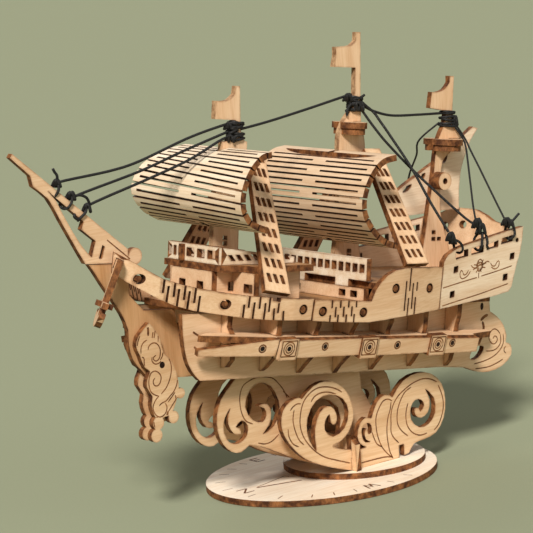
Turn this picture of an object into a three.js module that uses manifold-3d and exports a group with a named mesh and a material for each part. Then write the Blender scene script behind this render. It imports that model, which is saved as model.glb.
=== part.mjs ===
// A laser-cut plywood kit of a two-deck sailing ship on a wave stand and an oval compass base.
// World axes: +X aft, +Y starboard, +Z up; the origin is the middle of the base's underside.
// The ship is built in its own frame (p aft, y starboard, q up from the side plates' lower edge),
// which pitches bow-up on the stand.
import * as THREE from "three";
import { mergeVertices } from "three/addons/utils/BufferGeometryUtils.js";
import Module from "manifold-3d";

const wasm = await Module();
wasm.setup();

// ---- Driving dimensions, mm ----
const PLY = 2.5; // sheet thickness
const FIT = 0.3; // clearance of a slot round the sheet that fills it
const PITCH = 7.5; // bow-up angle of the ship, degrees
const LIFT = 46.4; // origin to the ship's own origin, along its upright
const BASE = { x: 51.2, y: 42.3 }; // half axes of the compass base
const STEP = { x: 30.2, y: 28.7, middle: 17.8 }; // half axes of the raised oval, and its offset aft
const AFT_WAVE_Y = 17; // mid-planes of the two pairs of waves
const FORE_WAVE_Y = 8.75;
const SIDE_Y = 17; // mid-plane of the side plates
const KEEL_TOP = 12; // upper edge of the keel plate amidships
const LAP = 8; // height at which ribs and side plates lock into each other
const MAIN_DECK = 26.2; // undersides of the decks
const QUARTERDECK = 34;
const FORECASTLE_DECK = 41.5;
const RIBS = [-69.5, -50, -31, -12, 7.5, 28.5, 49.5]; // where the ribs stand
const SAIL_WIDTH = 69;
const CORD = 1.1; // rigging diameter

// Upper works: the outer face's half breadth at a reference height, and its flare, by station p.
const SHELL = [
  { p: -116, half: 2.6, q: 50.6, flare: 0.05 },
  { p: -106, half: 9, q: 44.7, flare: 0.2 },
  { p: -97, half: 14.5, q: 39, flare: 0.33 },
  { p: -85, half: 21.5, q: 36.5, flare: 0.31 },
  { p: -66, half: 29.7, q: 34.5, flare: 0.25 },
  { p: -56, half: 32.7, q: 33.5, flare: 0.2 },
  { p: -47, half: 34, q: 32.5, flare: 0.16 },
  { p: -9.5, half: 34.8, q: 30, flare: 0.12 },
  { p: 9.5, half: 34.4, q: 29.8, flare: 0.1 },
  { p: 31, half: 31.2, q: 29.8, flare: 0.08 },
  { p: 52, half: 29, q: 29.8, flare: 0.07 },
  { p: 84, half: 28, q: 29.8, flare: 0.06 },
];

// ---- Materials ----
const material = (color, roughness) => new THREE.MeshStandardMaterial({ color, roughness, metalness: 0 });
const wood = () => material(0xe3c299, 0.62); // light basswood ply
const woodShade = () => material(0xc79a68, 0.7); // inner sheets, browner
const thread = () => material(0x17181a, 0.85); // black waxed cord

// ---- Sheets and solids ----

// Points of a spline through the given [x, y] pairs.
function spline(points, closed = false, perSpan = 2) {
  const path = points.map(([x, y]) => new THREE.Vector3(x, y, 0));
  const curve = new THREE.CatmullRomCurve3(path, closed, "centripetal");
  const spans = points.length - (closed ? 0 : 1);
  const along = curve.getPoints(spans * perSpan).map((v) => new THREE.Vector2(v.x, v.y));
  return closed ? along.slice(0, -1) : along;
}

// A closed outline from single corners [x, y] and runs of points that a spline smooths.
const outline = (...pieces) =>
  new THREE.Shape(
    pieces.flatMap((piece) => (Array.isArray(piece[0]) ? spline(piece) : [new THREE.Vector2(...piece)])),
  );
const blob = (points) => new THREE.Shape(spline(points, true));
const rectangle = (x0, y0, x1, y1) => outline([x0, y0], [x1, y0], [x1, y1], [x0, y1]);
const oval = (x, y, rx, ry) => new THREE.Shape().absellipse(x, y, rx, ry, 0, Math.PI * 2);
const mirrored = (points) => [...points, ...points.map(([x, y]) => [-x, y]).reverse()];

const sheet = (shape, thick, curveSegments = 12) =>
  new THREE.ExtrudeGeometry(shape, { depth: thick, bevelEnabled: false, curveSegments });

// A sheet lying flat from height z, one standing along the ship at y, and one standing across it at x.
const lying = (shape, z, thick = PLY, segments) => sheet(shape, thick, segments).translate(0, 0, z);
const lengthwise = (shape, y, thick = PLY, segments) =>
  sheet(shape, thick, segments).rotateX(Math.PI / 2).translate(0, y + thick / 2, 0);
const crosswise = (shape, x, thick = PLY, segments) =>
  sheet(shape, thick, segments)
    .applyMatrix4(
      new THREE.Matrix4().makeBasis(
        new THREE.Vector3(0, 1, 0),
        new THREE.Vector3(0, 0, 1),
        new THREE.Vector3(1, 0, 0),
      ),
    )
    .translate(x - thick / 2, 0, 0);
const block = (x0, x1, y0, y1, z0, z1) =>
  new THREE.BoxGeometry(x1 - x0, y1 - y0, z1 - z0).translate((x0 + x1) / 2, (y0 + y1) / 2, (z0 + z1) / 2);

function solid(geometry) {
  if (!geometry.isBufferGeometry) return geometry;
  const bare = geometry.clone();
  bare.deleteAttribute("normal");
  bare.deleteAttribute("uv");
  const merged = mergeVertices(bare, 1e-4);
  return new wasm.Manifold(
    new wasm.Mesh({
      numProp: 3,
      vertProperties: merged.attributes.position.array,
      triVerts: new Uint32Array(merged.index.array),
    }),
  );
}

const loose = (geometry) => (geometry.index ? geometry.toNonIndexed() : geometry.clone());
const joined = (first, ...others) => others.reduce((all, next) => all.add(solid(next)), solid(first));
const cut = (body, ...tools) => tools.reduce((left, tool) => left.subtract(solid(tool)), solid(body));

function geometryOf(body) {
  if (body.isBufferGeometry) return body;
  const { numProp, vertProperties, triVerts } = body.getMesh();
  const points = [];
  for (const v of triVerts) points.push(...vertProperties.subarray(v * numProp, v * numProp + 3));
  const geometry = new THREE.BufferGeometry();
  geometry.setAttribute("position", new THREE.Float32BufferAttribute(points, 3));
  geometry.computeVertexNormals();
  return geometry;
}

const mesh = (name, body, look) => {
  const made = new THREE.Mesh(geometryOf(body), look);
  made.name = name;
  return made;
};

// The port piece and its mirror image to starboard, turned right side out again.
function pair(name, port, look) {
  const portGeometry = loose(geometryOf(port));
  const starboard = portGeometry.clone().scale(1, -1, 1);
  const { array } = starboard.attributes.position;
  for (let i = 0; i < array.length; i += 9)
    for (let k = 0; k < 3; k++) [array[i + 3 + k], array[i + 6 + k]] = [array[i + 6 + k], array[i + 3 + k]];
  starboard.computeVertexNormals();
  return [mesh(name + "_port", portGeometry, look()), mesh(name + "_starboard", starboard, look())];
}

// A straight-sided loft through rings of the same number of points, closed by flat ends.
function loft(rings) {
  const count = rings[0].length;
  const points = [];
  const face = (a, b, c) => points.push(...a, ...b, ...c);
  for (let i = 0; i + 1 < rings.length; i++)
    for (let k = 0; k < count; k++) {
      const [a, b] = [rings[i][k], rings[i][(k + 1) % count]];
      const [c, d] = [rings[i + 1][(k + 1) % count], rings[i + 1][k]];
      face(a, b, c);
      face(a, c, d);
    }
  const [first, last] = [rings[0], rings[rings.length - 1]];
  for (let k = 1; k + 1 < count; k++) {
    face(first[0], first[k + 1], first[k]);
    face(last[0], last[k], last[k + 1]);
  }
  const geometry = new THREE.BufferGeometry();
  geometry.setAttribute("position", new THREE.Float32BufferAttribute(points, 3));
  geometry.computeVertexNormals();
  return geometry;
}

// ---- Upper works ----
function shell(p, q) {
  const i = Math.max(1, SHELL.findIndex((s) => s.p >= p));
  const [a, b] = [SHELL[i - 1], SHELL[i]];
  const t = (p - a.p) / (b.p - a.p);
  const mix = (key) => a[key] + (b[key] - a[key]) * t;
  return mix("half") + mix("flare") * (q - mix("q"));
}

// A bent port-side strip of ply whose outer face lies on the shell; stations are [p, lower q, upper q].
function strip(stations) {
  const rings = stations.map(([p, low, high]) => {
    const slope = (shell(p + 2, low) - shell(p - 2, low)) / 4;
    const n = Math.hypot(1, slope);
    const corner = (q, depth) => [p + (slope / n) * depth, -shell(p, q) + depth / n, q];
    return [corner(low, 0), corner(low, PLY), corner(high, PLY), corner(high, 0)];
  });
  return loft(rings);
}

const gunwaleFore = () =>
  strip([
    [-113.4, 41, 49.2],
    [-108, 37.6, 46],
    [-103, 34.8, 42.8],
    [-97, 31.4, 39.2],
    [-91, 28.8, 37.3],
    [-85, 27.1, 35.9],
    [-76, 25.8, 34.4],
    [-66, 24.4, 33.1],
    [-56, 23.7, 32.5],
    [-47, 23.4, 32],
    [-38, 23.3, 31.7],
  ]);

// Midships strip and the rounded quarter panel, one sheet.
const quarterPanel = () =>
  strip([
    [-37.2, 22.9, 31.2],
    [-22, 21.8, 30.5],
    [-8.2, 21.3, 29.7],
    [-7.6, 21.3, 31.5],
    [-6.5, 21.4, 34],
    [-4.3, 21.6, 37],
    [-0.9, 21.8, 39.9],
    [3.2, 22.2, 41.8],
    [8, 22.7, 42.5],
    [20, 23.6, 42.4],
    [32.6, 24.6, 42.1],
  ]);

const sternPanel = () =>
  strip([
    [33, 24.7, 44],
    [35, 24.9, 46.8],
    [39, 25.3, 48.9],
    [44, 26, 50.4],
    [66, 28.8, 55],
    [71, 29.8, 56.1],
    [74.4, 30.4, 56.7],
    [76, 32.4, 57],
    [77.6, 40, 57.4],
    [79.4, 47, 57.7],
    [80, 52, 57.8],
  ]);

// Raked board across the stern, arched on top, with three oval lights.
function transom() {
  const half = 25.4;
  const arch = mirrored([
    [half, 31],
    [half, 57],
    [22, 58.2],
    [17, 59],
    [12, 61.2],
    [6, 63],
  ]);
  const board = crosswise(outline(...arch), 0);
  const lights = [-11, 0, 11].map((y) => crosswise(oval(y, 56 - Math.abs(y) / 8, 2.2, 1.7), 0, 8, 8));
  const rake = THREE.MathUtils.degToRad(9);
  return geometryOf(cut(board, ...lights)).translate(0, 0, -31).rotateY(rake).translate(71, 0, 31.5);
}

// ---- Hull under the deck ----

// Aft scroll of a side plate, a rounded crest and a small curl under it.
function sidePlate() {
  const profile = outline(
    [-90.4, MAIN_DECK - FIT],
    [
      [-89.6, 18],
      [-88.9, 14.1],
      [-87.2, 8.2],
      [-84.5, 3.5],
      [-80.5, -0.2],
    ],
    [46.5, -1.3],
    [
      [60.9, -2.2],
      [68, -4.3],
      [75, -4.7],
      [83, -2.5],
      [88, 2],
      [87.4, 6.2],
      [84.4, 7.4],
    ],
    [
      [84.6, 10.5],
      [82.4, 15],
      [78.5, 18.6],
      [74.2, 21],
    ],
    [73.4, MAIN_DECK - FIT],
  );
  const plate = lengthwise(profile, -SIDE_Y);
  const slots = RIBS.map((p) =>
    block(p - PLY / 2 - FIT / 2, p + PLY / 2 + FIT / 2, -SIDE_Y - 3, -SIDE_Y + 3, LAP, MAIN_DECK + 2),
  );
  const leaf = blob([
    [63.4, 1.6],
    [65.2, 5.2],
    [68.4, 6.6],
    [71.4, 6],
    [70, 3],
    [66.4, 0.8],
  ]);
  return cut(plate, ...slots, lengthwise(leaf, -SIDE_Y, 6));
}

// Fore-and-aft backbone: stem, keel and the low plate that the ribs straddle.
const keelPlate = () =>
  lengthwise(
    outline(
      [-104, 44.2],
      [-122.6, 44.2],
      [
        [-120.1, 41.4],
        [-115.1, 35.2],
        [-106.2, 24.5],
        [-103.1, 18.6],
        [-102.4, 12.8],
        [-100.2, 6.9],
        [-95.2, 1.9],
        [-92, -1],
      ],
      [72, -1],
      [76, KEEL_TOP],
      [-77, KEEL_TOP],
      [-81, MAIN_DECK - FIT],
      [-96, MAIN_DECK - FIT],
      [-103, 32],
    ),
    0,
  );

// Bowsprit: a long tapering strip over a curved strut, with an open triangle between them.
function bowsprit() {
  const profile = outline(
    [-104.4, 49.8],
    [-158.9, 86.1],
    [-159.8, 84.6],
    [-150.6, 78],
    [
      [-149.2, 73.9],
      [-142.3, 69.4],
      [-136.5, 61.4],
      [-126.3, 47.3],
      [-124.2, 44.5],
    ],
    [-104, 44.5],
  );
  const opening = outline(
    [-142.6, 72.4],
    [
      [-138.6, 68.6],
      [-133.8, 61.4],
      [-126.5, 51.8],
      [-121.4, 47],
    ],
    [-119.8, 53.2],
    [-126.6, 57.6],
    [-125.6, 60.6],
  );
  const slit = outline([-118, 46.4], [-116.6, 46.4], [-115.4, 51], [-116.6, 51.6]);
  const knob = disc(-100.9, 47, 3.3, 0, PLY);
  return cut(joined(lengthwise(profile, 0), knob), lengthwise(opening, 0, 6), lengthwise(slit, 0, 6));
}

// A rib: upright behind the upper works, tapering in under the wale; wide, waist and foot are its
// half breadths under the deck, at the wale and below it, and foot height is where it meets the side.
const RIB_LINES = [
  { wide: 21.9, waist: 24.2, low: 24, foot: 4.4 },
  { wide: 28.8, waist: 28, low: 25.6, foot: 2.1 },
  { wide: 30.2, waist: 28, low: 26.6, foot: 0.3 },
  { wide: 31, waist: 28, low: 27.4, foot: -0.7 },
  { wide: 30.4, waist: 28, low: 26.6, foot: -0.3 },
  { wide: 28, waist: 27.4, low: 24.8, foot: 0 },
  { wide: 25.6, waist: 24, low: 23, foot: -1.6 },
];

function rib(i) {
  const { wide, waist, low, foot } = RIB_LINES[i];
  const [inner, outer] = [SIDE_Y - PLY / 2 - FIT / 2, SIDE_Y + PLY / 2 + FIT / 2];
  const profile = outline(
    ...mirrored([
      [wide, MAIN_DECK - FIT],
      [wide - 0.4, 20.5],
      [waist, 17],
      [low, 8],
      [outer + 2.5, (foot + 4) / 2 + 0.6],
      [outer, Math.max(foot, -0.8)],
      [outer, LAP + FIT],
      [inner, LAP + FIT],
      [inner, 3.5],
      [11, 6],
      [5, 6],
      [PLY / 2 + FIT / 2, 3.5],
      [PLY / 2 + FIT / 2, KEEL_TOP + FIT],
    ]),
  );
  return cut(crosswise(profile, RIBS[i]), waleClearance(), ...lightening(i));
}

// Square lightening holes each side of the middle of a rib.
const lightening = (i) => [-9, 9].map((y) => crosswise(rectangle(y - 3, 13, y + 3, 19), RIBS[i], 6));

// ---- Wale: a shelf board with a band of fascia pieces along its edge ----
const WALE = { inner: SIDE_Y + PLY / 2 + 0.2, outer: 29, rise: -1.85, droop: 7, height: 15.3 };

// The shelf's own frame: x along it, y outward, z up from its top face at the side plate.
function ontoWale(geometry) {
  return geometry
    .translate(0, WALE.inner, 0)
    .rotateX(THREE.MathUtils.degToRad(-WALE.droop))
    .translate(0, 2.2, 0)
    .rotateY(THREE.MathUtils.degToRad(-WALE.rise))
    .translate(0, 0, WALE.height + 3);
}

const WALE_PLAN = [
  [-80, 0],
  [-86.6, 3.4],
  [-86.2, 4.5],
  [-53, 9.4],
  [54, 9.6],
  [56, 7],
  [70, 3],
  [71, 0],
];

function waleShelf(grow = 0) {
  const plan = WALE_PLAN.map(([x, y]) => [x, y + grow * (y > 0 ? 1 : 0)]);
  return mirrorY(ontoWale(lying(outline(...plan), -PLY - grow, PLY + 2 * grow)));
}

// A copy mirrored across the middle plane, faces still outward.
function mirrorY(geometry) {
  const copy = loose(geometry).scale(1, -1, 1);
  const { array } = copy.attributes.position;
  for (let i = 0; i < array.length; i += 9)
    for (let k = 0; k < 3; k++) [array[i + 3 + k], array[i + 6 + k]] = [array[i + 6 + k], array[i + 3 + k]];
  return copy;
}

const ribSlotDepth = 5.2; // how far the shelf's slots reach out from the side plate

// What a rib leaves free for the shelf on both sides of the ship.
function waleClearance() {
  const port = solid(waleShelf(0.25));
  const free = cut(port, block(-120, 120, -WALE.inner - ribSlotDepth + 0.3, 40, -20, 60));
  const other = solid(mirrorY(geometryOf(free)));
  return free.add(other);
}

// A leaning fascia piece from its [p, q] corners, on the shelf's outer edge; toe turns the piece
// inward ahead of its aft end.
const FASCIA_Y = -29.6;
function fascia(corners, { thick = PLY, out = 0, toe = 0 } = {}) {
  const middle = corners.reduce((sum, [, q]) => sum + q, 0) / corners.length;
  const aft = Math.max(...corners.map(([p]) => p));
  return lengthwise(outline(...corners), 0, thick)
    .translate(-aft, 0, -middle)
    .rotateX(THREE.MathUtils.degToRad(13))
    .rotateZ(THREE.MathUtils.degToRad(-toe))
    .translate(aft, FASCIA_Y - out, middle);
}

const FASCIAS = [
  [[-87.3, 10.4], [-53, 9.6], [-52, 16.6], [-87.4, 12.9]],
  [[-44, 8.4], [-9, 8], [-9, 15], [-44, 15.6]],
  [[-2, 7.4], [30, 7.2], [30, 13.6], [-2, 14.4]],
  [[34, 6.6], [55.6, 6.4], [55.6, 12.4], [34, 13]],
];
const MEDALLIONS = [
  [-47.5, 12.2],
  [-5.5, 11],
  [32, 10.4],
];

function wale() {
  const shelf = cut(
    waleShelf(),
    ...RIBS.map((p) =>
      block(p - PLY / 2 - FIT / 2, p + PLY / 2 + FIT / 2, -WALE.inner - ribSlotDepth, 0, -5, 40),
    ),
  );
  const squares = MEDALLIONS.map(([p, q]) => {
    const r = 4.3;
    return fascia(
      [
        [p - r, q - r],
        [p + r, q - r],
        [p + r, q + r],
        [p - r, q + r],
      ],
      { thick: PLY + 0.8, out: 0.4 },
    );
  });
  return joined(shelf, ...FASCIAS.map((corners, i) => fascia(corners, { toe: i ? 0 : 10 })), ...squares);
}

// ---- Decks and deck houses ----

// Half breadth inside the upper works at height q, with clearance.
const inside = (p, q) => shell(p, q) - PLY * 1.12 - 0.4;

function deck(stations, underside, ...slots) {
  const half = stations.map(([p, y]) => [p, y ?? inside(p, underside)]);
  const plan = outline(...half.map(([p, y]) => [p, -y]), ...half.map(([p, y]) => [p, y]).reverse());
  return cut(lying(plan, underside), ...slots);
}

const mastSlot = (p0, p1, underside) => {
  const half = PLY / 2 + FIT / 2;
  return block(p0 - FIT / 2, p1 + FIT / 2, -half, half, underside - 2, underside + PLY + 2);
};

const mainDeck = () =>
  deck([[-82.5], [-78], [-74], [-66], [-56], [-47], [-28], [-9.5], [9.5], [31], [52], [67]], MAIN_DECK);

const forecastleDeck = () =>
  deck(
    [
      [-72, 18],
      [-62, 19],
      [-61, 24],
      [-30, 24],
    ],
    FORECASTLE_DECK,
    mastSlot(-59, -53, FORECASTLE_DECK),
  );

const quarterdeck = () =>
  deck(
    [[-3.1], [9.5], [31], [52], [69.2]],
    QUARTERDECK,
    mastSlot(3.5, 9.5, QUARTERDECK),
    mastSlot(54, 62, QUARTERDECK),
  );

// Forecastle walls, one piece: a bay with two lights, a wider wall behind it, and the walls between.
function forecastleBulkhead() {
  const [low, high] = [MAIN_DECK + PLY + FIT / 2, FORECASTLE_DECK - FIT / 2];
  const bay = crosswise(rectangle(-13, low, 13, high), -71);
  const front = crosswise(rectangle(-26.6, low, 26.6, high), -61);
  const side = (y) => lengthwise(rectangle(-71, low, -61, high), y);
  const back = (y) => lengthwise(rectangle(-61, low, -32, high), y);
  const lights = [-5.6, 5.6].map((y) => crosswise(rectangle(y - 2, 33.4, y + 2, 37), -71, 6));
  const ports = [-23, -11.4, 11.4, 23].map((y) => crosswise(rectangle(y - 2.6, 33.6, y + 2.6, 37), -61, 6));
  return cut(joined(bay, front, side(-11.7), side(11.7), back(-17), back(17)), ...lights, ...ports);
}

// Forecastle rails: two window panels across the bow end and a slotted rail along each side.
function forecastleRail() {
  const foot = FORECASTLE_DECK + PLY + FIT / 2;
  const front = crosswise(rectangle(-16.2, foot, 16.2, 51), -70.5);
  const side = (y) => lengthwise(outline([-70.5, foot], [-34, foot], [-34, 46.6], [-70.5, 50.8]), y);
  const lights = [-11.4, -4.8, 1.8].map((y) =>
    crosswise(rectangle(y - 2.4, 46, y + 2.4, 49.4), -70.5, 6),
  );
  const small = [8.6, 11.6, 14.6].map((y) => crosswise(rectangle(y - 0.9, 45.8, y + 0.9, 49.6), -70.5, 6));
  const slots = [-65.6, -61.6, -57.6, -53.6, -48, -43, -38].map((p) =>
    lengthwise(outline([p - 0.6, 45.6], [p + 1.8, 45.6], [p - 0.2, 48], [p - 2.6, 48]), 0, 60),
  );
  const stanchion = block(-73.4, -70, 5.2, 7.2, foot, 50.6);
  return cut(joined(front, side(-15.5), side(15.5), stanchion), ...lights, ...small, ...slots);
}

const waistBulkhead = () =>
  cut(
    crosswise(rectangle(-27.2, MAIN_DECK + PLY + FIT / 2, 27.2, QUARTERDECK - FIT / 2), -4.5),
    ...[-21, -14, 14, 21].map((y) => crosswise(rectangle(y - 2, 30, y + 2, 32.6), -4.5, 6)),
  );

// Balustrade hung on the front edge of the quarterdeck by two tabs: thirteen lights in a long panel.
function waistRail() {
  const [low, tab] = [QUARTERDECK + PLY + 0.6, QUARTERDECK];
  const panel = crosswise(
    outline(
      [-28.3, low],
      [-28.3, 46],
      [28.3, 46],
      [28.3, low],
      [17.5, low],
      [17.5, tab],
      [9.5, tab],
      [9.5, low],
      [-9.5, low],
      [-9.5, tab],
      [-17.5, tab],
      [-17.5, low],
    ),
    -4.5,
  );
  const lights = Array.from({ length: 13 }, (_, i) => {
    const y = (i - 6) * 4.25;
    return crosswise(rectangle(y - 1.5, 40, y + 1.5, 43.6), -4.5, 6);
  });
  return cut(panel, ...lights);
}

// ---- Masts ----
// A small square light cut through a mast.
const light = (p, q) => lengthwise(rectangle(p - 1.1, q - 0.8, p + 1.1, q + 0.8), 0, 6);

function foreMast() {
  const foot = FORECASTLE_DECK + PLY + FIT / 2;
  const body = lengthwise(
    outline(
      [-52.3, 113],
      [-54.3, 113],
      [-54.7, 109.8],
      [
        [-54.7, 109.8],
        [-57.4, 107.6],
        [-60.1, 107],
        [-64.1, 107],
      ],
      [-64.2, 99.9],
      [-53.8, 99.6],
      [-53.6, 91.8],
      [-60.3, 91],
      [-60.3, 88.5],
      [
        [-61.2, 84],
        [-62.6, 70],
        [-63.2, 56.4],
        [-63, foot],
      ],
      [-59, foot],
      [-59, FORECASTLE_DECK - 1],
      [-53, FORECASTLE_DECK - 1],
      [-53, foot],
      [-50, foot],
      [
        [-50.4, 60],
        [-48, 80],
        [-47.6, 91],
      ],
      [-50.6, 92.4],
      [-51.4, 99.4],
    ),
    0,
  );
  return cut(body, light(-57, 53.2), light(-57, 51));
}

function mainMast() {
  const foot = QUARTERDECK + PLY + FIT / 2;
  const body = lengthwise(
    outline(
      [9.8, 136.1],
      [7.6, 136],
      [
        [7.6, 132.6],
        [5.4, 130.6],
        [1.7, 130],
        [-3.1, 129.7],
      ],
      [-2.9, 126],
      [-3.7, 121.6],
      [7.9, 121.6],
      [8.2, 110.4],
      [
        [7.4, 105.1],
        [2.8, 99.8],
        [0.4, 93.7],
        [0.9, 84],
        [1.6, 66],
        [1.1, 51.2],
        [-0.2, foot],
      ],
      [3.5, foot],
      [3.5, QUARTERDECK - 1],
      [9.5, QUARTERDECK - 1],
      [9.5, foot],
      [16.6, foot],
      [
        [13.4, 50],
        [12.8, 66],
        [14.8, 84],
        [14.8, 89.7],
        [14.1, 93.3],
        [12.1, 99.9],
        [11.8, 105.6],
      ],
      [11.2, 110.9],
    ),
    0,
  );
  return cut(body, nestNotch(MAIN_NEST), light(8.4, 46.6), light(8.4, 44.4));
}

function mizzenMast() {
  const foot = QUARTERDECK + PLY + FIT / 2;
  const body = lengthwise(
    outline(
      [63.4, 119.3],
      [60.8, 119.3],
      [
        [61, 116.7],
        [58.4, 113.6],
        [54.6, 112.4],
        [51.1, 112.4],
      ],
      [50.4, 105.7],
      [56.8, 104.9],
      [59.9, 104.8],
      [
        [59.2, 99],
        [55.4, 91],
        [54.3, 79],
        [52.9, 68],
        [50.6, 52],
        [48.2, foot],
      ],
      [54, foot],
      [54, QUARTERDECK - 1],
      [62, QUARTERDECK - 1],
      [62, foot],
      [67.6, foot],
      [
        [64.2, 48.7],
        [60.2, 57.7],
        [58.6, 65],
        [58.4, 77],
        [59, 83.5],
        [63, 87],
      ],
      [
        [69, 92],
        [68.8, 94],
        [66, 98],
        [63.3, 105],
      ],
    ),
    0,
  );
  const boss = lengthwise(oval(56.2, 75.3, 3.7, 3.7), -3.7, 5.2, 12);
  const eye = lengthwise(oval(56.2, 75.3, 1.3, 1.3), -5.6, 3, 8);
  const lights = [light(55.6, 53.4), light(55.6, 50.6), light(58.8, 50.6)];
  return cut(joined(body, boss), eye, nestNotch(MIZZEN_NEST), ...lights);
}

// Crow's nests: two stacked oval boards, slotted from the front to lock over a notch in the mast.
const MAIN_NEST = { p: 7, q: 94.4, rx: 6.4, ry: 8.4, lap: 8 };
const MIZZEN_NEST = { p: 60, q: 87.8, rx: 8, ry: 8.8, lap: 62 };
const NEST_RISE = 2 * PLY;

function crowsNest({ p, q, rx, ry, lap }) {
  const lower = lying(oval(p, 0, rx - 0.8, ry - 0.8), q, PLY + 0.1, 9);
  const upper = lying(oval(p, 0, rx, ry), q + PLY, PLY, 9);
  const slot = PLY / 2 + FIT / 2;
  return cut(joined(lower, upper), block(p - 20, lap + FIT / 2, -slot, slot, q - 1, q + NEST_RISE + 1));
}
const nestNotch = ({ q, lap }) =>
  block(lap - FIT / 2, lap + 40, -5, 5, q - FIT / 2, q + NEST_RISE + FIT / 2);

// ---- Sails ----

// A bellied sail bent from a slitted sheet. Its bow face runs from head to foot along one edge line to
// port and another to starboard, and it is slotted at head and foot for the mast.
function sail(port, starboard, mastAt) {
  const side = (edge, y) => {
    const front = spline(edge);
    return front.map((v, i) => {
      const [a, b] = [front[Math.max(0, i - 1)], front[Math.min(front.length - 1, i + 1)]];
      const along = b.clone().sub(a).normalize();
      return [
        [v.x, y, v.y],
        [v.x - along.y * PLY, y, v.y + along.x * PLY],
      ];
    });
  };
  const [near, far] = [side(port, -SAIL_WIDTH / 2), side(starboard, SAIL_WIDTH / 2)];
  const cloth = loft(near.map(([front, back], i) => [front, far[i][0], far[i][1], back]));
  const half = PLY / 2 + FIT / 2;
  return cut(cloth, block(mastAt, mastAt + 40, -half, half, 20, 140));
}

const FORE_SAIL = [
  [-62.5, 89],
  [-67.2, 87.8],
  [-71.5, 84],
  [-75.1, 78.3],
  [-76.8, 72],
  [-76.3, 66.5],
  [-74, 62.6],
  [-71.4, 60.4],
  [-67.8, 58.8],
  [-63.2, 57.6],
];
const FORE_SAIL_FAR = [
  [-50.8, 88.3],
  [-58.4, 86.6],
  [-64.4, 84.6],
  [-69.3, 82.2],
  [-73.2, 79.4],
  [-76, 75.4],
  [-77.4, 70.6],
  [-75.6, 65.8],
  [-70.6, 61],
  [-63.2, 57.6],
];
const MAIN_SAIL = [
  [2, 88],
  [-4, 86.7],
  [-8.6, 83.6],
  [-12.6, 78],
  [-14.9, 71.6],
  [-15, 66.4],
  [-13.2, 61.8],
  [-8.2, 55.8],
  [-1.5, 51.6],
  [4.5, 50.3],
];

// Lateen sail of the mizzen, a flat sheet beside the mast.
function lateenSail() {
  const y = PLY + 0.3;
  const cloth = lengthwise(
    outline(
      [81.4, 97.3],
      [78.6, 98],
      [
        [59.5, 84],
        [53.5, 80.8],
        [47.9, 77.5],
        [41.1, 73.7],
        [35.6, 70],
      ],
      [38, 65.4],
      [
        [43, 60.4],
        [52.7, 61.2],
        [61.3, 62.3],
        [72.4, 62.9],
      ],
      [
        [71.9, 71],
        [72.6, 79.5],
        [74.9, 86.5],
        [77.4, 92.2],
      ],
    ),
    y,
  );
  const leaf = (p0, q0, p1, q1, bow = 0.9) =>
    lengthwise(
      blob([
        [p0, q0],
        [(p0 + p1) / 2 - bow * 0.6, (q0 + q1) / 2 + bow],
        [p1, q1],
        [(p0 + p1) / 2 + bow * 0.6, (q0 + q1) / 2 - bow],
      ]),
      y,
      6,
    );
  const leaves = [leaf(61.6, 82.3, 64.3, 85.9), leaf(49.4, 75.6, 52, 78.3), leaf(39.4, 70.1, 44.5, 73.5)];
  const { p, q, rx } = MIZZEN_NEST;
  return cut(cloth, ...leaves, block(p - 20, p + rx + FIT, y - 2, y + 2, q - FIT, q + 20));
}

// ---- Shrouds: slotted ladders leaning in to the masts ----
function shroud({ p, y, q, lean, rake, length, rows, first, pitch }) {
  const [footHalf, headHalf] = [6, 4.2];
  const ladder = outline([-footHalf, 0], [footHalf, 0], [headHalf, length], [-headHalf, length]);
  const rungs = Array.from({ length: rows }, (_, row) => {
    const z = first + row * pitch;
    const w = (footHalf + (headHalf - footHalf) * (z / length)) * 0.54;
    const [low, high] = [z - 1.85, z + 1.85];
    return [-w, 0, w].map((x) =>
      lengthwise(outline([x - 0.45, low], [x + 1.2, low], [x + 0.45, high], [x - 1.2, high]), 0, 6),
    );
  }).flat();
  const up = new THREE.Vector3(rake, lean, 1).normalize();
  const out = new THREE.Vector3(0, 1, -lean).normalize();
  const along = out.clone().cross(up);
  const stand = new THREE.Matrix4().makeBasis(along, out, up).setPosition(p, y, q);
  return geometryOf(cut(lengthwise(ladder, 0), ...rungs)).applyMatrix4(stand);
}

// ---- Bow ornament and anchor ----
const disc = (p, q, r, y, thick = PLY) => lengthwise(oval(p, q, r, r), y, thick, 10);

const SCROLL_Y = -PLY - FIT - 0.1;

function bowScroll() {
  const crest = outline(
    [
      [-95.4, 21.4],
      [-100.3, 16.2],
      [-101.1, 12.4],
      [-99.4, 9.2],
      [-96.6, 4.1],
      [-94, 2.4],
      [-95.2, -0.6],
      [-95.3, -3.7],
      [-92.4, -7.4],
      [-92.8, -10.5],
      [-91.2, -14.9],
      [-89.5, -16.7],
    ],
    [
      [-86, -15.7],
      [-83, -14.9],
      [-80.6, -9.5],
      [-79.6, -6.1],
      [-81.2, 1.7],
      [-85, 7.3],
      [-88, 9.8],
      [-89.8, 15.3],
      [-93, 19.3],
    ],
  );
  const beads = [
    [-78.7, -6.9, 2.1],
    [-81.7, -16.1, 2.5],
    [-89, -18, 2.7],
    [-89.6, -22.9, 2.7],
  ].map(([p, q, r]) => disc(p, q, r, SCROLL_Y));
  return joined(lengthwise(crest, SCROLL_Y), ...beads);
}

// The anchor's own frame: x outward from the bow strip's face, y along its rail, z up the strip.
function ontoBow(geometry) {
  const out = new THREE.Vector3(-0.539, -0.842, 0);
  const along = new THREE.Vector3(0.8, -0.512, -0.31).normalize();
  const up = new THREE.Vector3().crossVectors(out, along);
  return geometry.applyMatrix4(
    new THREE.Matrix4().makeBasis(out, along, up).setPosition(-111.6, -shell(-111.6, 44.6), 44.6),
  );
}
const anchorSlot = () => ontoBow(block(-6, 3, -PLY / 2 - FIT, PLY / 2 + FIT, -1.8 - FIT, 1.8 + FIT));

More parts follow.
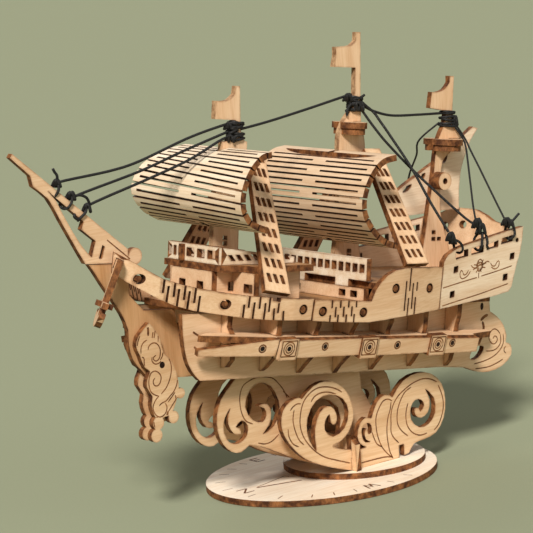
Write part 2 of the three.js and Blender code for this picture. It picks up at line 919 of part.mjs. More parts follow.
// Anchor standing off the bow on a plug: shank, stock near its foot, and two curved flukes.
function anchor() {
  const body = outline(
    [-2.6, -1.8],
    [1.4, -1.8],
    [2.2, -15],
    [-2.4, -15],
    [-2.4, -17.4],
    [2.2, -17.4],
    [
      [1.6, -19],
      [-1.4, -20.6],
      [-3.6, -18.8],
    ],
    [
      [-4.6, -20.6],
      [-1.4, -24],
      [3.6, -25.2],
      [8.6, -24],
      [11.8, -20.6],
    ],
    [
      [10.8, -18.8],
      [8.6, -20.6],
      [5.4, -19],
    ],
    [5, -17.4],
    [9.4, -17.4],
    [9.4, -15],
    [5, -15],
    [5.2, 1.8],
    [-2.6, 1.8],
  );
  return joined(ontoBow(lengthwise(body, 0)), ontoBow(block(2, 5.2, -3.4, 3.4, -17.2, -15.2)));
}

// ---- Wave stand ----

// World [x, z] of a point of the ship's middle plane.
function fromShip(p, q) {
  const a = THREE.MathUtils.degToRad(PITCH);
  return [p * Math.cos(a) + (q + LIFT) * Math.sin(a), (q + LIFT) * Math.cos(a) - p * Math.sin(a)];
}

function aftWave() {
  const body = outline(
    [
      [-25.3, 40.4],
      [-29.5, 39.7],
      [-33.6, 36.6],
      [-35, 31.4],
      [-33.2, 25.6],
      [-29.5, 20.4],
      [-23.5, 14.9],
      [-15, 10.5],
      [-8.5, 8],
      [-1, 5.6],
    ],
    [2, 5],
    [26, 5],
    [
      [32, 6],
      [35.2, 9.4],
      [40.5, 10],
      [47.8, 11.6],
      [52.6, 17],
      [54, 24.5],
      [52.4, 31.5],
      [47, 36.7],
      [39.5, 38.5],
      [31, 36.8],
      [24.5, 31],
    ],
    [
      [23.3, 32],
      [20, 32.8],
      [16, 30.5],
      [12.5, 24.5],
    ],
    [
      [9.5, 25.5],
      [6.2, 23.6],
      [4.5, 18.5],
      [6, 15],
      [9, 13.2],
    ],
    [
      [6, 13],
      [-0.5, 14],
      [-7, 16],
      [-9, 17.3],
      [-4, 18.7],
      [0, 21.5],
      [2.8, 26.5],
      [2.6, 32],
      [0.2, 38],
      [-4.6, 42.3],
      [-11, 44.4],
      [-17.2, 43.5],
      [-23.5, 39.5],
    ],
  );
  const curl = blob([
    [-17.6, 17],
    [-18, 22.5],
    [-16.5, 29.5],
    [-12.4, 33.8],
    [-8.6, 33.5],
    [-6.2, 30.5],
    [-6, 27.3],
    [-7.6, 25.8],
    [-9.2, 27],
    [-9.6, 30.6],
    [-12, 28.5],
    [-12.6, 24.6],
    [-8.5, 21],
    [-2, 23.5],
    [0.5, 29.8],
    [-2, 35.4],
    [-9, 38.6],
    [-16.2, 37.4],
    [-21.2, 31.5],
    [-21.8, 25],
    [-19.8, 19.6],
  ]);
  const bud = blob([
    [10.5, 23],
    [12.3, 21.6],
    [12.1, 18.6],
    [10.3, 18.4],
    [9.8, 20.8],
    [8.5, 19.6],
    [9, 16.4],
    [11.3, 15],
    [8.5, 15.2],
    [7, 18],
    [7.3, 21.6],
  ]);
  const eye = blob([
    [43, 31],
    [45.2, 26],
    [43.8, 21],
    [39.8, 19.4],
    [37, 20.8],
    [36.4, 23.8],
    [38.6, 23.8],
    [39.6, 22],
    [41.9, 24.4],
    [40.4, 27],
    [37, 27.4],
    [34.5, 25],
    [34.2, 19.8],
    [38.5, 15.6],
    [44, 16],
    [47.8, 20],
    [47.6, 26.4],
  ]);
  const y = -AFT_WAVE_Y;
  const voids = [curl, bud, eye].map((shape) => lengthwise(shape, y, 6));
  return cut(lengthwise(body, y), ...voids, ...crossNotches(y));
}

function foreWave() {
  const body = outline(
    fromShip(9, 3.1),
    fromShip(-52, 3.1),
    [
      [-48.4, 53],
      [-54, 48.4],
      [-58, 44.5],
      [-60.4, 38.5],
      [-60.5, 32.5],
      [-58.2, 26.8],
      [-54, 22.8],
      [-49.5, 21.8],
      [-45, 23.9],
    ],
    [
      [-39, 22],
      [-30, 17.6],
      [-20, 12.4],
      [-8, 8],
      [-1, 5.6],
    ],
    [2, 5],
    [34, 5],
    [36, 12],
    [22, 24],
    [15, 36],
  );
  const bigVoid = blob([
    [-43, 45.8],
    [-38, 47.8],
    [-32.5, 45.5],
    [-28.8, 38.8],
    [-29, 33.6],
    [-32, 29],
    [-38, 26.8],
    [-34.4, 30],
    [-33, 34.6],
    [-34.4, 38.2],
    [-38, 39],
    [-39, 38.4],
    [-36.2, 37],
    [-35.5, 34],
    [-37.6, 31.8],
    [-42.5, 33.5],
    [-46, 39.5],
  ]);
  const smallVoid = blob([
    [-53.4, 40.5],
    [-56.6, 37],
    [-57.5, 31.6],
    [-55, 27],
    [-50.5, 25.5],
    [-46, 28],
    [-45.4, 32],
    [-48.2, 34.5],
    [-51.4, 32.4],
    [-49.4, 31.4],
    [-49, 29.3],
    [-52.5, 30],
    [-55, 34.4],
    [-54.6, 38],
  ]);
  const y = -FORE_WAVE_Y;
  const middle = blob([
    [-20, 36],
    [-8, 36],
    [2, 30],
    [2, 20],
    [-6, 15],
    [-16, 20],
    [-22, 28],
  ]);
  return cut(
    lengthwise(body, y),
    ...[bigVoid, smallVoid, middle].map((shape) => lengthwise(shape, y, 6)),
    ...crossNotches(y),
  );
}

// Cross plates that lock the four waves together.
const CROSS = [
  { x: 2, half: 21 },
  { x: 28, half: 15.4 },
];
const CROSS_LAP = 10;
const crossNotches = (y) =>
  CROSS.map(({ x }) =>
    block(x - PLY / 2 - FIT / 2, x + PLY / 2 + FIT / 2, y - 3, y + 3, 0, CROSS_LAP + FIT),
  );

function standCross({ x, half }) {
  const plate = crosswise(
    outline([-half, 5], [half, 5], [half, 16], [half - 4, 19], [4 - half, 19], [-half, 16]),
    x,
  );
  const slots = [AFT_WAVE_Y, FORE_WAVE_Y, -FORE_WAVE_Y, -AFT_WAVE_Y].map((y) =>
    block(x - 3, x + 3, y - PLY / 2 - FIT / 2, y + PLY / 2 + FIT / 2, CROSS_LAP, 30),
  );
  return cut(plate, ...slots);
}

// ---- Rigging ----
function cord(name, route, look) {
  const curve = new THREE.CatmullRomCurve3(route.map((v) => new THREE.Vector3(...v)), false, "centripetal");
  const ring = new THREE.Shape();
  for (let k = 0; k < 8; k++) {
    const a = (k * Math.PI) / 4;
    const at = [(Math.cos(a) * CORD) / 2, (Math.sin(a) * CORD) / 2];
    if (k) ring.lineTo(...at);
    else ring.moveTo(...at);
  }
  const steps = Math.min(40, Math.ceil(curve.getLength() / 5));
  const tube = new THREE.ExtrudeGeometry(ring, { steps, extrudePath: curve, bevelEnabled: false });
  return mesh(name, tube, look);
}

// Each line's route in the ship's frame, [p, y, q], from one knot to the other.
const LINES = {
  forestay_outer: [
    [-139, 0, 73.8],
    [-136.4, -0.4, 75.7],
    [-114, -0.8, 79.7],
    [-99.9, -0.9, 83.5],
    [-77.5, -0.9, 92.2],
    [-60.4, -0.6, 97.3],
    [-55.3, -0.4, 98.2],
  ],
  forestay_middle: [
    [-130.6, 0, 68.4],
    [-128.2, -0.3, 70.6],
    [-99.7, -0.9, 79.6],
    [-80, -0.9, 87],
    [-58.8, -0.6, 94.4],
    [-54.6, -0.3, 95.6],
  ],
  forestay_inner: [
    [-124, 0, 64],
    [-122, -0.3, 67.1],
    [-94.8, -0.9, 76.9],
    [-76, -0.9, 84],
    [-60.5, -1.2, 91.9],
    [-54.8, -1, 93.2],
  ],
  main_stay: [
    [-50.4, 0, 96],
    [-36, 0, 99.2],
    [-16, 0, 104.4],
    [3, 0, 109.6],
    [7.3, 0, 110.6],
  ],
  mizzen_stay: [
    [12.8, 0, 106.6],
    [19.8, 0, 104],
    [30, 0, 102.3],
    [45, 0, 102.8],
    [58.6, 0, 103.6],
  ],
  backstay_forward: [
    [11.2, -1.8, 107.9],
    [14.9, -2, 105.5],
    [17.3, -3.2, 103.5],
    [18.7, -5.5, 100.1],
    [20.5, -8, 96.2],
    [27.1, -16.5, 81.6],
    [31.3, -24, 68.3],
    [35.8, -31, 56.3],
  ],
  backstay_middle: [
    [11, -1.8, 105.2],
    [13.1, -3, 102],
    [16.1, -5.5, 97.1],
    [20.3, -8.5, 91.3],
    [29.9, -13.5, 81.1],
    [38.4, -20.5, 71.5],
    [47.1, -28, 62],
    [50.6, -30.4, 59.3],
  ],
  vang_middle: [
    [62.5, -1.9, 99.8],
    [65.3, -2.6, 96.7],
    [67.8, -3.8, 92.9],
    [67.7, -6, 89.3],
    [61.2, -16, 76.4],
    [55.8, -24, 66.6],
    [51.7, -30, 61.3],
  ],
  vang_aft: [
    [63.5, -1.7, 100.8],
    [66.7, -2.6, 96.7],
    [69.5, -4, 92.3],
    [69.9, -6.5, 88.4],
    [70.1, -12.5, 80.8],
    [70.3, -21.5, 69.2],
    [69.7, -29.8, 59.8],
  ],
  vang_starboard: [
    [58.2, 1, 99.6],
    [53.2, 7.8, 91.6],
    [56.2, 12, 85.3],
    [58.6, 18.5, 76.6],
    [63, 25.2, 65.5],
    [66, 29.2, 57],
  ],
};

// ---- Assembly ----
function base() {
  return [
    mesh("base_plate", lying(oval(0, 0, BASE.x, BASE.y), 0, PLY, 64), wood()),
    mesh("base_step", lying(oval(STEP.middle, 0, STEP.x, STEP.y), PLY, PLY, 56), wood()),
  ];
}

function stand() {
  return [
    ...pair("wave_aft", aftWave(), wood),
    ...pair("wave_fore", foreWave(), wood),
    ...CROSS.map((at, i) => mesh("stand_cross_" + (i + 1), standCross(at), woodShade())),
  ];
}

function hull() {
  return [
    mesh("keel_plate", keelPlate(), wood()),
    mesh("bowsprit", bowsprit(), wood()),
    ...pair("side_plate", sidePlate(), wood),
    ...RIBS.map((_, i) => mesh("rib_" + (i + 1), rib(i), wood())),
    ...pair("wale", wale(), wood),
    ...pair("gunwale_fore", cut(gunwaleFore(), anchorSlot()), wood),
    ...pair("quarter_panel", quarterPanel(), wood),
    ...pair("stern_panel", sternPanel(), wood),
    mesh("transom", transom(), wood()),
    ...pair("bow_scroll", bowScroll(), wood),
    mesh("anchor", anchor(), woodShade()),
  ];
}

function decks() {
  return [
    mesh("main_deck", mainDeck(), woodShade()),
    mesh("forecastle_deck", forecastleDeck(), woodShade()),
    mesh("quarterdeck", quarterdeck(), woodShade()),
    mesh("forecastle_bulkhead", forecastleBulkhead(), wood()),
    mesh("forecastle_rail", forecastleRail(), wood()),
    mesh("waist_bulkhead", waistBulkhead(), wood()),
    mesh("waist_rail", waistRail(), wood()),
  ];
}

function rig() {
  const fore = {
    p: -55.6,
    y: -32.2,
    q: 34.2,
    lean: 0.56,
    rake: 0.2,
    length: 61,
    rows: 9,
    first: 5.8,
    pitch: 6.6,
  };
  const main = {
    p: 15.3,
    y: -34.6,
    q: 43.6,
    lean: 0.686,
    rake: 0,
    length: 54,
    rows: 8,
    first: 4.8,
    pitch: 6.3,
  };
  return [
    mesh("fore_mast", foreMast(), wood()),
    mesh("main_mast", mainMast(), wood()),
    mesh("mizzen_mast", mizzenMast(), wood()),
    mesh("crows_nest_main", crowsNest(MAIN_NEST), wood()),
    mesh("crows_nest_mizzen", crowsNest(MIZZEN_NEST), wood()),
    mesh("fore_sail", sail(FORE_SAIL, FORE_SAIL_FAR, -68), wood()),
    mesh("main_sail", sail(MAIN_SAIL, MAIN_SAIL, -3), wood()),
    mesh("lateen_sail", lateenSail(), wood()),
    ...pair("fore_shroud", shroud(fore), wood),
    ...pair("main_shroud", shroud(main), wood),
    ...Object.entries(LINES).map(([name, route]) => cord("line_" + name, route, thread())),
  ];
}

const ship = new THREE.Group();
const lean = THREE.MathUtils.degToRad(PITCH);
ship.position.set(Math.sin(lean) * LIFT, 0, Math.cos(lean) * LIFT);
ship.rotation.y = lean;
ship.add(...hull(), ...decks(), ...rig());

const model = new THREE.Group();
model.add(...base(), ...stand(), ship);

export default model;
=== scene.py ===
import bmesh
import bpy
import math
from mathutils import Matrix, Vector
from mathutils.bvhtree import BVHTree

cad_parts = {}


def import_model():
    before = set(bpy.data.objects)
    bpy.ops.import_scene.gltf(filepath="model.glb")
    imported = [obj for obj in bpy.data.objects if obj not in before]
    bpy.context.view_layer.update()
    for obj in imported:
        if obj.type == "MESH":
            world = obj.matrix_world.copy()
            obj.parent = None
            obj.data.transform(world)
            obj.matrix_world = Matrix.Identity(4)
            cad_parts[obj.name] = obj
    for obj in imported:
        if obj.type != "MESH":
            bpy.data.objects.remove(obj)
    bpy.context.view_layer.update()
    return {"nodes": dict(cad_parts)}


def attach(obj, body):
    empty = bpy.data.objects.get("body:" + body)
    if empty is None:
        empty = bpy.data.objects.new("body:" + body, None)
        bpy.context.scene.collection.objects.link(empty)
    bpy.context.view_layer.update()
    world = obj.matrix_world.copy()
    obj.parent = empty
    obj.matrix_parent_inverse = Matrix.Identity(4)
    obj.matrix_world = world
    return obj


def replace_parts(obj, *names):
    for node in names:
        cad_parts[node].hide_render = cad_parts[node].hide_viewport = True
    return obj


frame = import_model()
NODES = frame["nodes"]

MM = 0.001
PLY = 2.5  # thickness of every sheet, mm
LIFT, PITCH = 46.4, math.radians(7.5)  # the ship's frame above the base, and its bow-up pitch
CORD = 1.1  # diameter of the stays, mm
VANG = 0.75  # the mizzen's lines against the stays
SPAN = 70  # half the length of a cutter that passes right across the ship, mm
KERF = 0.75  # width of a laser slit in a hull panel, mm


def ship(p, y, q):
    """A point of the ship's frame (aft, starboard, up; mm) in the row frame, in metres."""
    c, s = math.cos(PITCH), math.sin(PITCH)
    return Vector((c * p + s * (q + LIFT), y, c * (q + LIFT) - s * p)) * MM


def world(x, y, z):
    """A point of the row frame given in mm."""
    return Vector((x, y, z)) * MM


# ---- Camera ----
def camera():
    """A long lens on the port bow, a little above the deck."""
    away, aside, above_deck = 1.07, 0.02305, 0.08628
    a, e, roll = math.radians(-39), math.radians(9.72), math.radians(3.67)
    back = Vector((math.sin(a) * math.cos(e), -math.cos(a) * math.cos(e), math.sin(e)))
    right = Vector((math.cos(a), math.sin(a), 0))
    up = back.cross(right)
    c, s = math.cos(roll), math.sin(roll)
    right, up = c * right - s * up, s * right + c * up
    place = back * away - right * aside + up * above_deck
    data = bpy.data.cameras.new("camera")
    data.sensor_width, data.lens = 36, 175.6
    data.clip_start, data.clip_end = 0.05, 20
    cam = bpy.data.objects.new("camera", data)
    bpy.context.scene.collection.objects.link(cam)
    cam.matrix_world = Matrix.Translation(place) @ Matrix((right, up, back)).transposed().to_4x4()
    bpy.context.scene.camera = cam


camera()


# ---- Materials ----
class Nodes:
    """A small helper that adds and links the nodes of one material."""

    def __init__(self, name):
        self.material = bpy.data.materials.new(name)
        self.material.use_nodes = True
        self.tree = self.material.node_tree
        self.shader = self.tree.nodes["Principled BSDF"]
        self.place = self.add("ShaderNodeTexCoord").outputs["Object"]

    def add(self, kind, **settings):
        node = self.tree.nodes.new(kind)
        for key, value in settings.items():
            setattr(node, key, value)
        return node

    def link(self, a, b):
        self.tree.links.new(a, b)

    def noise(self, scale, detail=4, stretch=None, rough=0.55):
        node = self.add("ShaderNodeTexNoise")
        node.inputs["Scale"].default_value = scale
        node.inputs["Detail"].default_value = detail
        node.inputs["Roughness"].default_value = rough
        place = self.place
        if stretch:
            mapping = self.add("ShaderNodeMapping")
            mapping.inputs["Scale"].default_value = stretch
            self.link(place, mapping.inputs["Vector"])
            place = mapping.outputs["Vector"]
        self.link(place, node.inputs["Vector"])
        return node.outputs["Fac"]

    def ramp(self, fac, *stops):
        node = self.add("ShaderNodeValToRGB")
        for i, (at, colour) in enumerate(stops):
            e = node.color_ramp.elements[i] if i < 2 else node.color_ramp.elements.new(at)
            e.position = at
            e.color = (*colour, 1)
        self.link(fac, node.inputs["Fac"])
        return node.outputs["Color"]

    def mix(self, fac, a, b, blend="MIX"):
        node = self.add("ShaderNodeMix", data_type="RGBA", blend_type=blend)
        for socket, value in ((node.inputs["Factor"], fac), (node.inputs[6], a), (node.inputs[7], b)):
            if hasattr(value, "links"):
                self.link(value, socket)
            elif isinstance(value, tuple):
                socket.default_value = (*value, 1)
            else:
                socket.default_value = value
        return node.outputs[2]

    def bump(self, height, strength, distance):
        node = self.add("ShaderNodeBump")
        node.inputs["Strength"].default_value = strength
        node.inputs["Distance"].default_value = distance
        self.link(height, node.inputs["Height"])
        self.link(node.outputs["Normal"], self.shader.inputs["Normal"])


GRAIN = {"x": (0.05, 1, 1), "y": (1, 0.05, 1), "z": (1, 1, 0.05)}
SMOKED = (0.23, 0.085, 0.03)


def plywood(name, pale, deep, grain, reach=0.0011):
    """Streaked wood with its grain along one axis, smoked within reach of its cut edges."""
    n = Nodes(name)
    stretch = GRAIN[grain]
    broad = n.ramp(n.noise(190, 3, stretch), (0.3, deep), (0.68, pale))
    streak = n.ramp(n.noise(1500, 5, stretch, 0.7), (0.36, (0.86, 0.79, 0.7)), (0.6, (1, 1, 1)))
    cloud = n.ramp(n.noise(45, 2), (0.3, (0.93, 0.9, 0.86)), (0.7, (1, 1, 1)))
    face = n.mix(1.0, n.mix(0.8, broad, streak, "MULTIPLY"), cloud, "MULTIPLY")
    near = n.add("ShaderNodeAmbientOcclusion", inside=True, only_local=True, samples=8)
    near.inputs["Distance"].default_value = reach
    edge = n.ramp(near.outputs["AO"], (0.5, (1, 1, 1)), (0.86, (0, 0, 0)))
    smoke = n.mix(1.0, edge, n.ramp(n.noise(260, 3), (0.35, (0.15,) * 3), (0.65, (0.75,) * 3)), "MULTIPLY")
    n.link(n.mix(smoke, face, SMOKED), n.shader.inputs["Base Color"])
    n.link(
        n.ramp(n.noise(500, 3, stretch), (0.3, (0.5,) * 3), (0.7, (0.68,) * 3)),
        n.shader.inputs["Roughness"],
    )
    n.shader.inputs["Specular IOR Level"].default_value = 0.35
    n.bump(n.noise(1700, 4, stretch), 0.25, 0.00015)
    return n.material


def burnt(name, dark, light):
    """Laser-cut edge grain: scorched, with the paler core ply showing through in places."""
    n = Nodes(name)
    patch = n.ramp(n.noise(330, 4), (0.36, dark), (0.66, light))
    fine = n.ramp(n.noise(2600, 3, (1, 1, 0.3)), (0.3, (0.55,) * 3), (0.7, (1, 1, 1)))
    n.link(n.mix(1.0, patch, fine, "MULTIPLY"), n.shader.inputs["Base Color"])
    n.link(n.ramp(n.noise(800, 2), (0.3, (0.6,) * 3), (0.7, (0.85,) * 3)), n.shader.inputs["Roughness"])
    n.shader.inputs["Specular IOR Level"].default_value = 0.25
    n.bump(n.noise(2400, 3), 0.4, 0.0001)
    return n.material


def twisted(name):
    """Waxed black cord with a diagonal twist."""
    n = Nodes(name)
    fibre = n.noise(2600, 3)
    n.link(
        n.ramp(fibre, (0.3, (0.003, 0.003, 0.003)), (0.75, (0.014, 0.012, 0.012))),
        n.shader.inputs["Base Color"],
    )
    n.link(n.ramp(n.noise(900, 2), (0.3, (0.55,) * 3), (0.7, (0.8,) * 3)), n.shader.inputs["Roughness"])
    wave = n.add("ShaderNodeTexWave", bands_direction="DIAGONAL")
    wave.inputs["Scale"].default_value = 420
    wave.inputs["Distortion"].default_value = 2
    n.link(n.place, wave.inputs["Vector"])
    n.bump(wave.outputs["Fac"], 0.6, 0.0002)
    return n.material


def painted_floor():
    """A matt, pale grey-green floor."""
    n = Nodes("floor")
    n.link(
        n.ramp(n.noise(900, 2), (0.2, (0.285, 0.305, 0.205)), (0.8, (0.3, 0.32, 0.216))),
        n.shader.inputs["Base Color"],
    )
    n.shader.inputs["Roughness"].default_value = 1
    n.shader.inputs["Specular IOR Level"].default_value = 0
    return n.material


PALE, DEEP = (0.89, 0.63, 0.41), (0.77, 0.49, 0.29)
LOOKS = {
    "hull": plywood("ply_hull", PALE, DEEP, "x"),
    "hull_up": plywood("ply_upright", PALE, DEEP, "z"),
    "sail": plywood("ply_sail", (0.98, 0.84, 0.67), (0.87, 0.67, 0.47), "y", 0.0004),
    # The main sail's copy of the sail wood is darker: painted shade for its shaded middle.
    "sail_main": plywood("ply_sail_painted_shade", (0.86, 0.66, 0.47), (0.64, 0.43, 0.27), "y", 0.0004),
    "stern": plywood("ply_stern", (0.95, 0.76, 0.57), (0.83, 0.6, 0.41), "x"),
    # A paler copy of the wood for the rails: painted light where the key lamp falls on them.
    "rail": plywood("ply_rail_painted_light", (0.98, 0.86, 0.7), (0.86, 0.66, 0.46), "x"),
    # Waves, bow scrolls and stand cross a little darker than the hull wood: painted shade.
    "wave": plywood("ply_wave_painted_shade", (0.86, 0.61, 0.38), (0.7, 0.44, 0.24), "x"),
    # The base wood nearly white: painted light that lifts the hull's shadow off it.
    "base": plywood("ply_base_painted_light", (1, 0.9, 0.76), (0.94, 0.79, 0.63), "x", 0.0006),
    # Decks dark brown: painted shade inside the hull.
    "inner": plywood("ply_deck_painted_shade", (0.46, 0.245, 0.105), (0.3, 0.145, 0.055), "x"),
    # Keel plate darker: painted shade between the side plates and under the gunwale.
    "keel": plywood("ply_keel_painted_shade", (0.7, 0.42, 0.22), (0.56, 0.31, 0.14), "z"),
}
EDGE = burnt("scorched_edge", (0.09, 0.028, 0.009), (0.4, 0.155, 0.05))
# Burnt edge painted paler: painted light where the key lamp falls on the fore and main masts' bow edges.
EDGE_LIT = burnt("edge_painted_light", (0.3, 0.14, 0.06), (0.74, 0.46, 0.25))
SLIT_WALL = burnt("slit_wall", (0.03, 0.01, 0.004), (0.15, 0.055, 0.02))
SCORCH = burnt("engraving", (0.13, 0.045, 0.015), (0.38, 0.155, 0.055))
BROWN = burnt("light_engraving", (0.24, 0.095, 0.035), (0.46, 0.21, 0.085))
# Near-black discs painted where holes would show dark: painted shade.
HOLE_SHADE = burnt("hole_painted_shade", (0.012, 0.005, 0.003), (0.05, 0.018, 0.008))
BLACK = twisted("waxed_cord")


# ---- Sheets ----
THICKNESS = 0.0021, 0.0029  # a ray into a broad face leaves its sheet between these, m
WALL = 0.0034  # a wall is wider and taller than this, m
COPLANAR = 0.996  # cosine between the normals of faces that lie in one plane


def tree_of(obj):
    """A search tree for rays that look for an object's faces."""
    bm = bmesh.new()
    bm.from_mesh(obj.data)
    tree = BVHTree.FromBMesh(bm)
    bm.free()
    return tree


TREES = {}
# The ship's own up, and the way across her.
UP = (ship(0, 0, 1) - ship(0, 0, 0)).normalized()
ASIDE = Vector((0, 1, 0))


def surface(node):
    """The search tree of a CAD node, made once."""
    if node not in TREES:
        TREES[node] = tree_of(NODES[node])
    return TREES[node]


def regions(me):
    """Groups of touching faces that lie in one plane."""
    bm = bmesh.new()
    bm.from_mesh(me)
    bm.faces.ensure_lookup_table()
    seen, groups = set(), []
    for face in bm.faces:
        if face.index in seen:
            continue
        seen.add(face.index)
        group, stack = [], [face]
        while stack:
            f = stack.pop()
            group.append(f.index)
            for e in f.edges:
                for g in e.link_faces:
                    if g.index not in seen and g.normal.dot(face.normal) > COPLANAR:
                        seen.add(g.index)
                        stack.append(g)
        groups.append(group)
    bm.free()
    return groups


def dress(obj, face, edge=EDGE, flat=None, walls=False):
    """Gives a sheet's broad faces the wood material and its cut edges the burnt one.

    A broad face looks along flat when that is given. Otherwise it is one that finds its other side
    a sheet's thickness away or, with walls, any upright face that is larger than an edge."""
    me = obj.data
    me.materials.clear()
    me.materials.append(face)
    me.materials.append(edge)
    tree, inset, reach = tree_of(obj), 2e-5, 0.0045
    for poly in me.polygons:
        if flat is not None:
            broad = abs(poly.normal.dot(flat)) > 0.9
        else:
            hit = tree.ray_cast(poly.center - poly.normal * inset, -poly.normal, reach)
            is_sheet = hit[0] is not None and THICKNESS[0] < hit[3] < THICKNESS[1]
            broad = is_sheet and abs(hit[1].dot(poly.normal)) > 0.9
        poly.material_index = 0 if broad else 1
    if walls:
        dress_walls(me)
    return obj


def dress_walls(me):
    """Gives the wood material to each upright plane that is wider and taller than WALL."""
    for group in regions(me):
        along = me.polygons[group[0]].normal.cross(UP)
        if along.length < 0.8:
            continue
        along.normalize()
        points = [me.vertices[v].co for f in group for v in me.polygons[f].vertices]
        sizes = [max(p.dot(d) for p in points) - min(p.dot(d) for p in points) for d in (along, UP)]
        if min(sizes) > WALL:
            for f in group:
                me.polygons[f].material_index = 0


def link(name, data):
    """A new piece of the ship, riding on its one body."""
    obj = bpy.data.objects.new(name, data)
    bpy.context.scene.collection.objects.link(obj)
    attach(obj, "root")
    return obj


def mesh_of(name, verts, faces, indices=None, materials=()):
    """A mesh from lists, with each face's material index."""
    me = bpy.data.meshes.new(name)
    me.from_pydata([tuple(v) for v in verts], [], faces)
    for m in materials:
        me.materials.append(m)
    if indices:
        for poly, i in zip(me.polygons, indices):
            poly.material_index = i
    me.validate()
    me.update()
    return me


def prism(corners, place, depth0, depth1):
    """Vertices and faces of a polygon in the plane swept across it, from depth0 to depth1."""
    n = len(corners)
    verts = [place(u, depth0, v) for u, v in corners] + [place(u, depth1, v) for u, v in corners]
    faces = [tuple(range(n)), tuple(reversed(range(n, 2 * n)))]
    faces += [(k, k + n, (k + 1) % n + n, (k + 1) % n) for k in range(n)]
    return verts, faces


def through(corners):
    """A cutter: a polygon of the ship's side view, swept right across the ship."""
    return prism(corners, ship, -SPAN, SPAN)


def gather(parts):
    """Several lists of vertices and faces as one."""
    verts, faces = [], []
    for v, f in parts:
        base = len(verts)
        verts += v
        faces += [tuple(i + base for i in face) for face in f]
    return verts, faces


def outward(me):
    """The mesh with all its faces turned outwards."""
    bm = bmesh.new()
    bm.from_mesh(me)
    bmesh.ops.recalc_face_normals(bm, faces=bm.faces)
    bm.to_mesh(me)
    bm.free()
    return me


def cut_away(obj, cutters, face, edge=SLIT_WALL):
    """Takes closed cutters out of a sheet; the walls they leave are burnt."""
    verts, faces = gather(cutters)
    data = mesh_of("cutter", verts, faces, [1] * len(faces), (face, edge))
    cutter = bpy.data.objects.new("cutter", outward(data))
    bpy.context.scene.collection.objects.link(cutter)
    mod = obj.modifiers.new("cut", "BOOLEAN")
    mod.operation, mod.solver, mod.object = "DIFFERENCE", "EXACT", cutter
    mod.material_mode = "TRANSFER"
    made = bpy.data.meshes.new_from_object(obj.evaluated_get(bpy.context.evaluated_depsgraph_get()))
    obj.modifiers.clear()
    obj.data = made
    bpy.data.objects.remove(cutter)
    return obj


def carve(node, cutters, face):
    """A copy of a CAD sheet with small cuts burnt through it, shown in place of the node."""
    me = NODES[node].data.copy()
    bm = bmesh.new()
    bm.from_mesh(me)
    bmesh.ops.remove_doubles(bm, verts=bm.verts, dist=1e-6)
    bm.to_mesh(me)
    bm.free()
    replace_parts(cut_away(dress(link(node + "_cut", me), face), cutters, face), node)


def kerf(a, b):
    """A straight burnt slit from a to b."""
    d = Vector((b[0] - a[0], b[1] - a[1])).normalized() * (KERF / 2)
    n = Vector((-d.y, d.x))
    a, b = Vector(a), Vector(b)
    corners = [a - d + n, b + d + n, b + d - n, a - d - n]
    return through([tuple(c) for c in corners])


def circle(u, v, r, count=12, turn=0):
    """Points round a circle, the first one given again at the end."""
    angles = [2 * math.pi * k / count + turn for k in range(count + 1)]
    return [(u + r * math.cos(a), v + r * math.sin(a)) for a in angles]


def hole(p, q, r):
    """A cutter for a round hole."""
    return through(circle(p, q, r, 16)[:-1])


def smooth(points, step=0.8):
    """Points at even steps on a Catmull-Rom curve through the given ones."""
    pts = [Vector(p) for p in points]
    if len(pts) == 2:
        ends = pts
    else:
        ends = []
        for i in range(len(pts) - 1):
            a, b, c, d = pts[max(i - 1, 0)], pts[i], pts[i + 1], pts[min(i + 2, len(pts) - 1)]
            count = max(2, int((c - b).length / (step / 2)))
            for k in range(count):
                t = k / count
                squared, cubed = 2 * a - 5 * b + 4 * c - d, 3 * b - a - 3 * c + d
                ends.append(0.5 * (2 * b + (c - a) * t + squared * t * t + cubed * t**3))
        ends.append(pts[-1])
    return even(ends, step)


def even(points, step):
    """Points at even steps along straight stretches."""
    total = sum((b - a).length for a, b in zip(points, points[1:]))
    count = max(1, round(total / step))
    out, i, walked = [points[0]], 0, 0.0
    for k in range(1, count):
        goal = total * k / count
        while walked + (points[i + 1] - points[i]).length < goal:
            walked += (points[i + 1] - points[i]).length
            i += 1
        t = (goal - walked) / (points[i + 1] - points[i]).length
        out.append(points[i].lerp(points[i + 1], t))
    return out + [points[-1]]


PROUD = 4e-5  # how far engraving stands off its face, m
STEP = 0.0012  # a line breaks where the face under it steps by this much, m


def ribbon(node, line, width, place, side):
    """A burnt line on a node's face, broken where the face ends or steps.

    place gives a point well off the face and the way to look for it, from the drawing's u and v."""
    pts = smooth([Vector(p) for p in line]) if len(line) > 2 else even([Vector(p) for p in line], 1.5)
    tree, verts, ok = surface(node), [], []
    for i, pt in enumerate(pts):
        d = (pts[min(i + 1, len(pts) - 1)] - pts[max(i - 1, 0)]).normalized()
        n = Vector((-d.y, d.x)) * (width / 2)
        taper = 0.45 if len(line) > 2 and i in (0, len(pts) - 1) else 1
        row = []
        for s in (1, -1):
            at = pt + n * s * taper
            start, direction = place(at.x, at.y, side)
            hit = tree.ray_cast(start, direction)
            row.append((hit[0] - direction * PROUD, hit[3]) if hit[0] is not None else None)
        good = None not in row and abs(row[0][1] - row[1][1]) < STEP / 2
        verts += [r[0] if r else Vector() for r in row]
        ok.append(row[0][1] if good else None)
    faces = [
        (2 * i, 2 * i + 1, 2 * i + 3, 2 * i + 2)
        for i in range(len(pts) - 1)
        if ok[i] is not None and ok[i + 1] is not None and abs(ok[i] - ok[i + 1]) < STEP
    ]
    return verts, faces


def off_ship(u, v, side):
    """Beside the ship, looking in; u is aft and v up in the ship's frame."""
    return ship(u, SPAN * side, v), Vector((0, -side, 0))


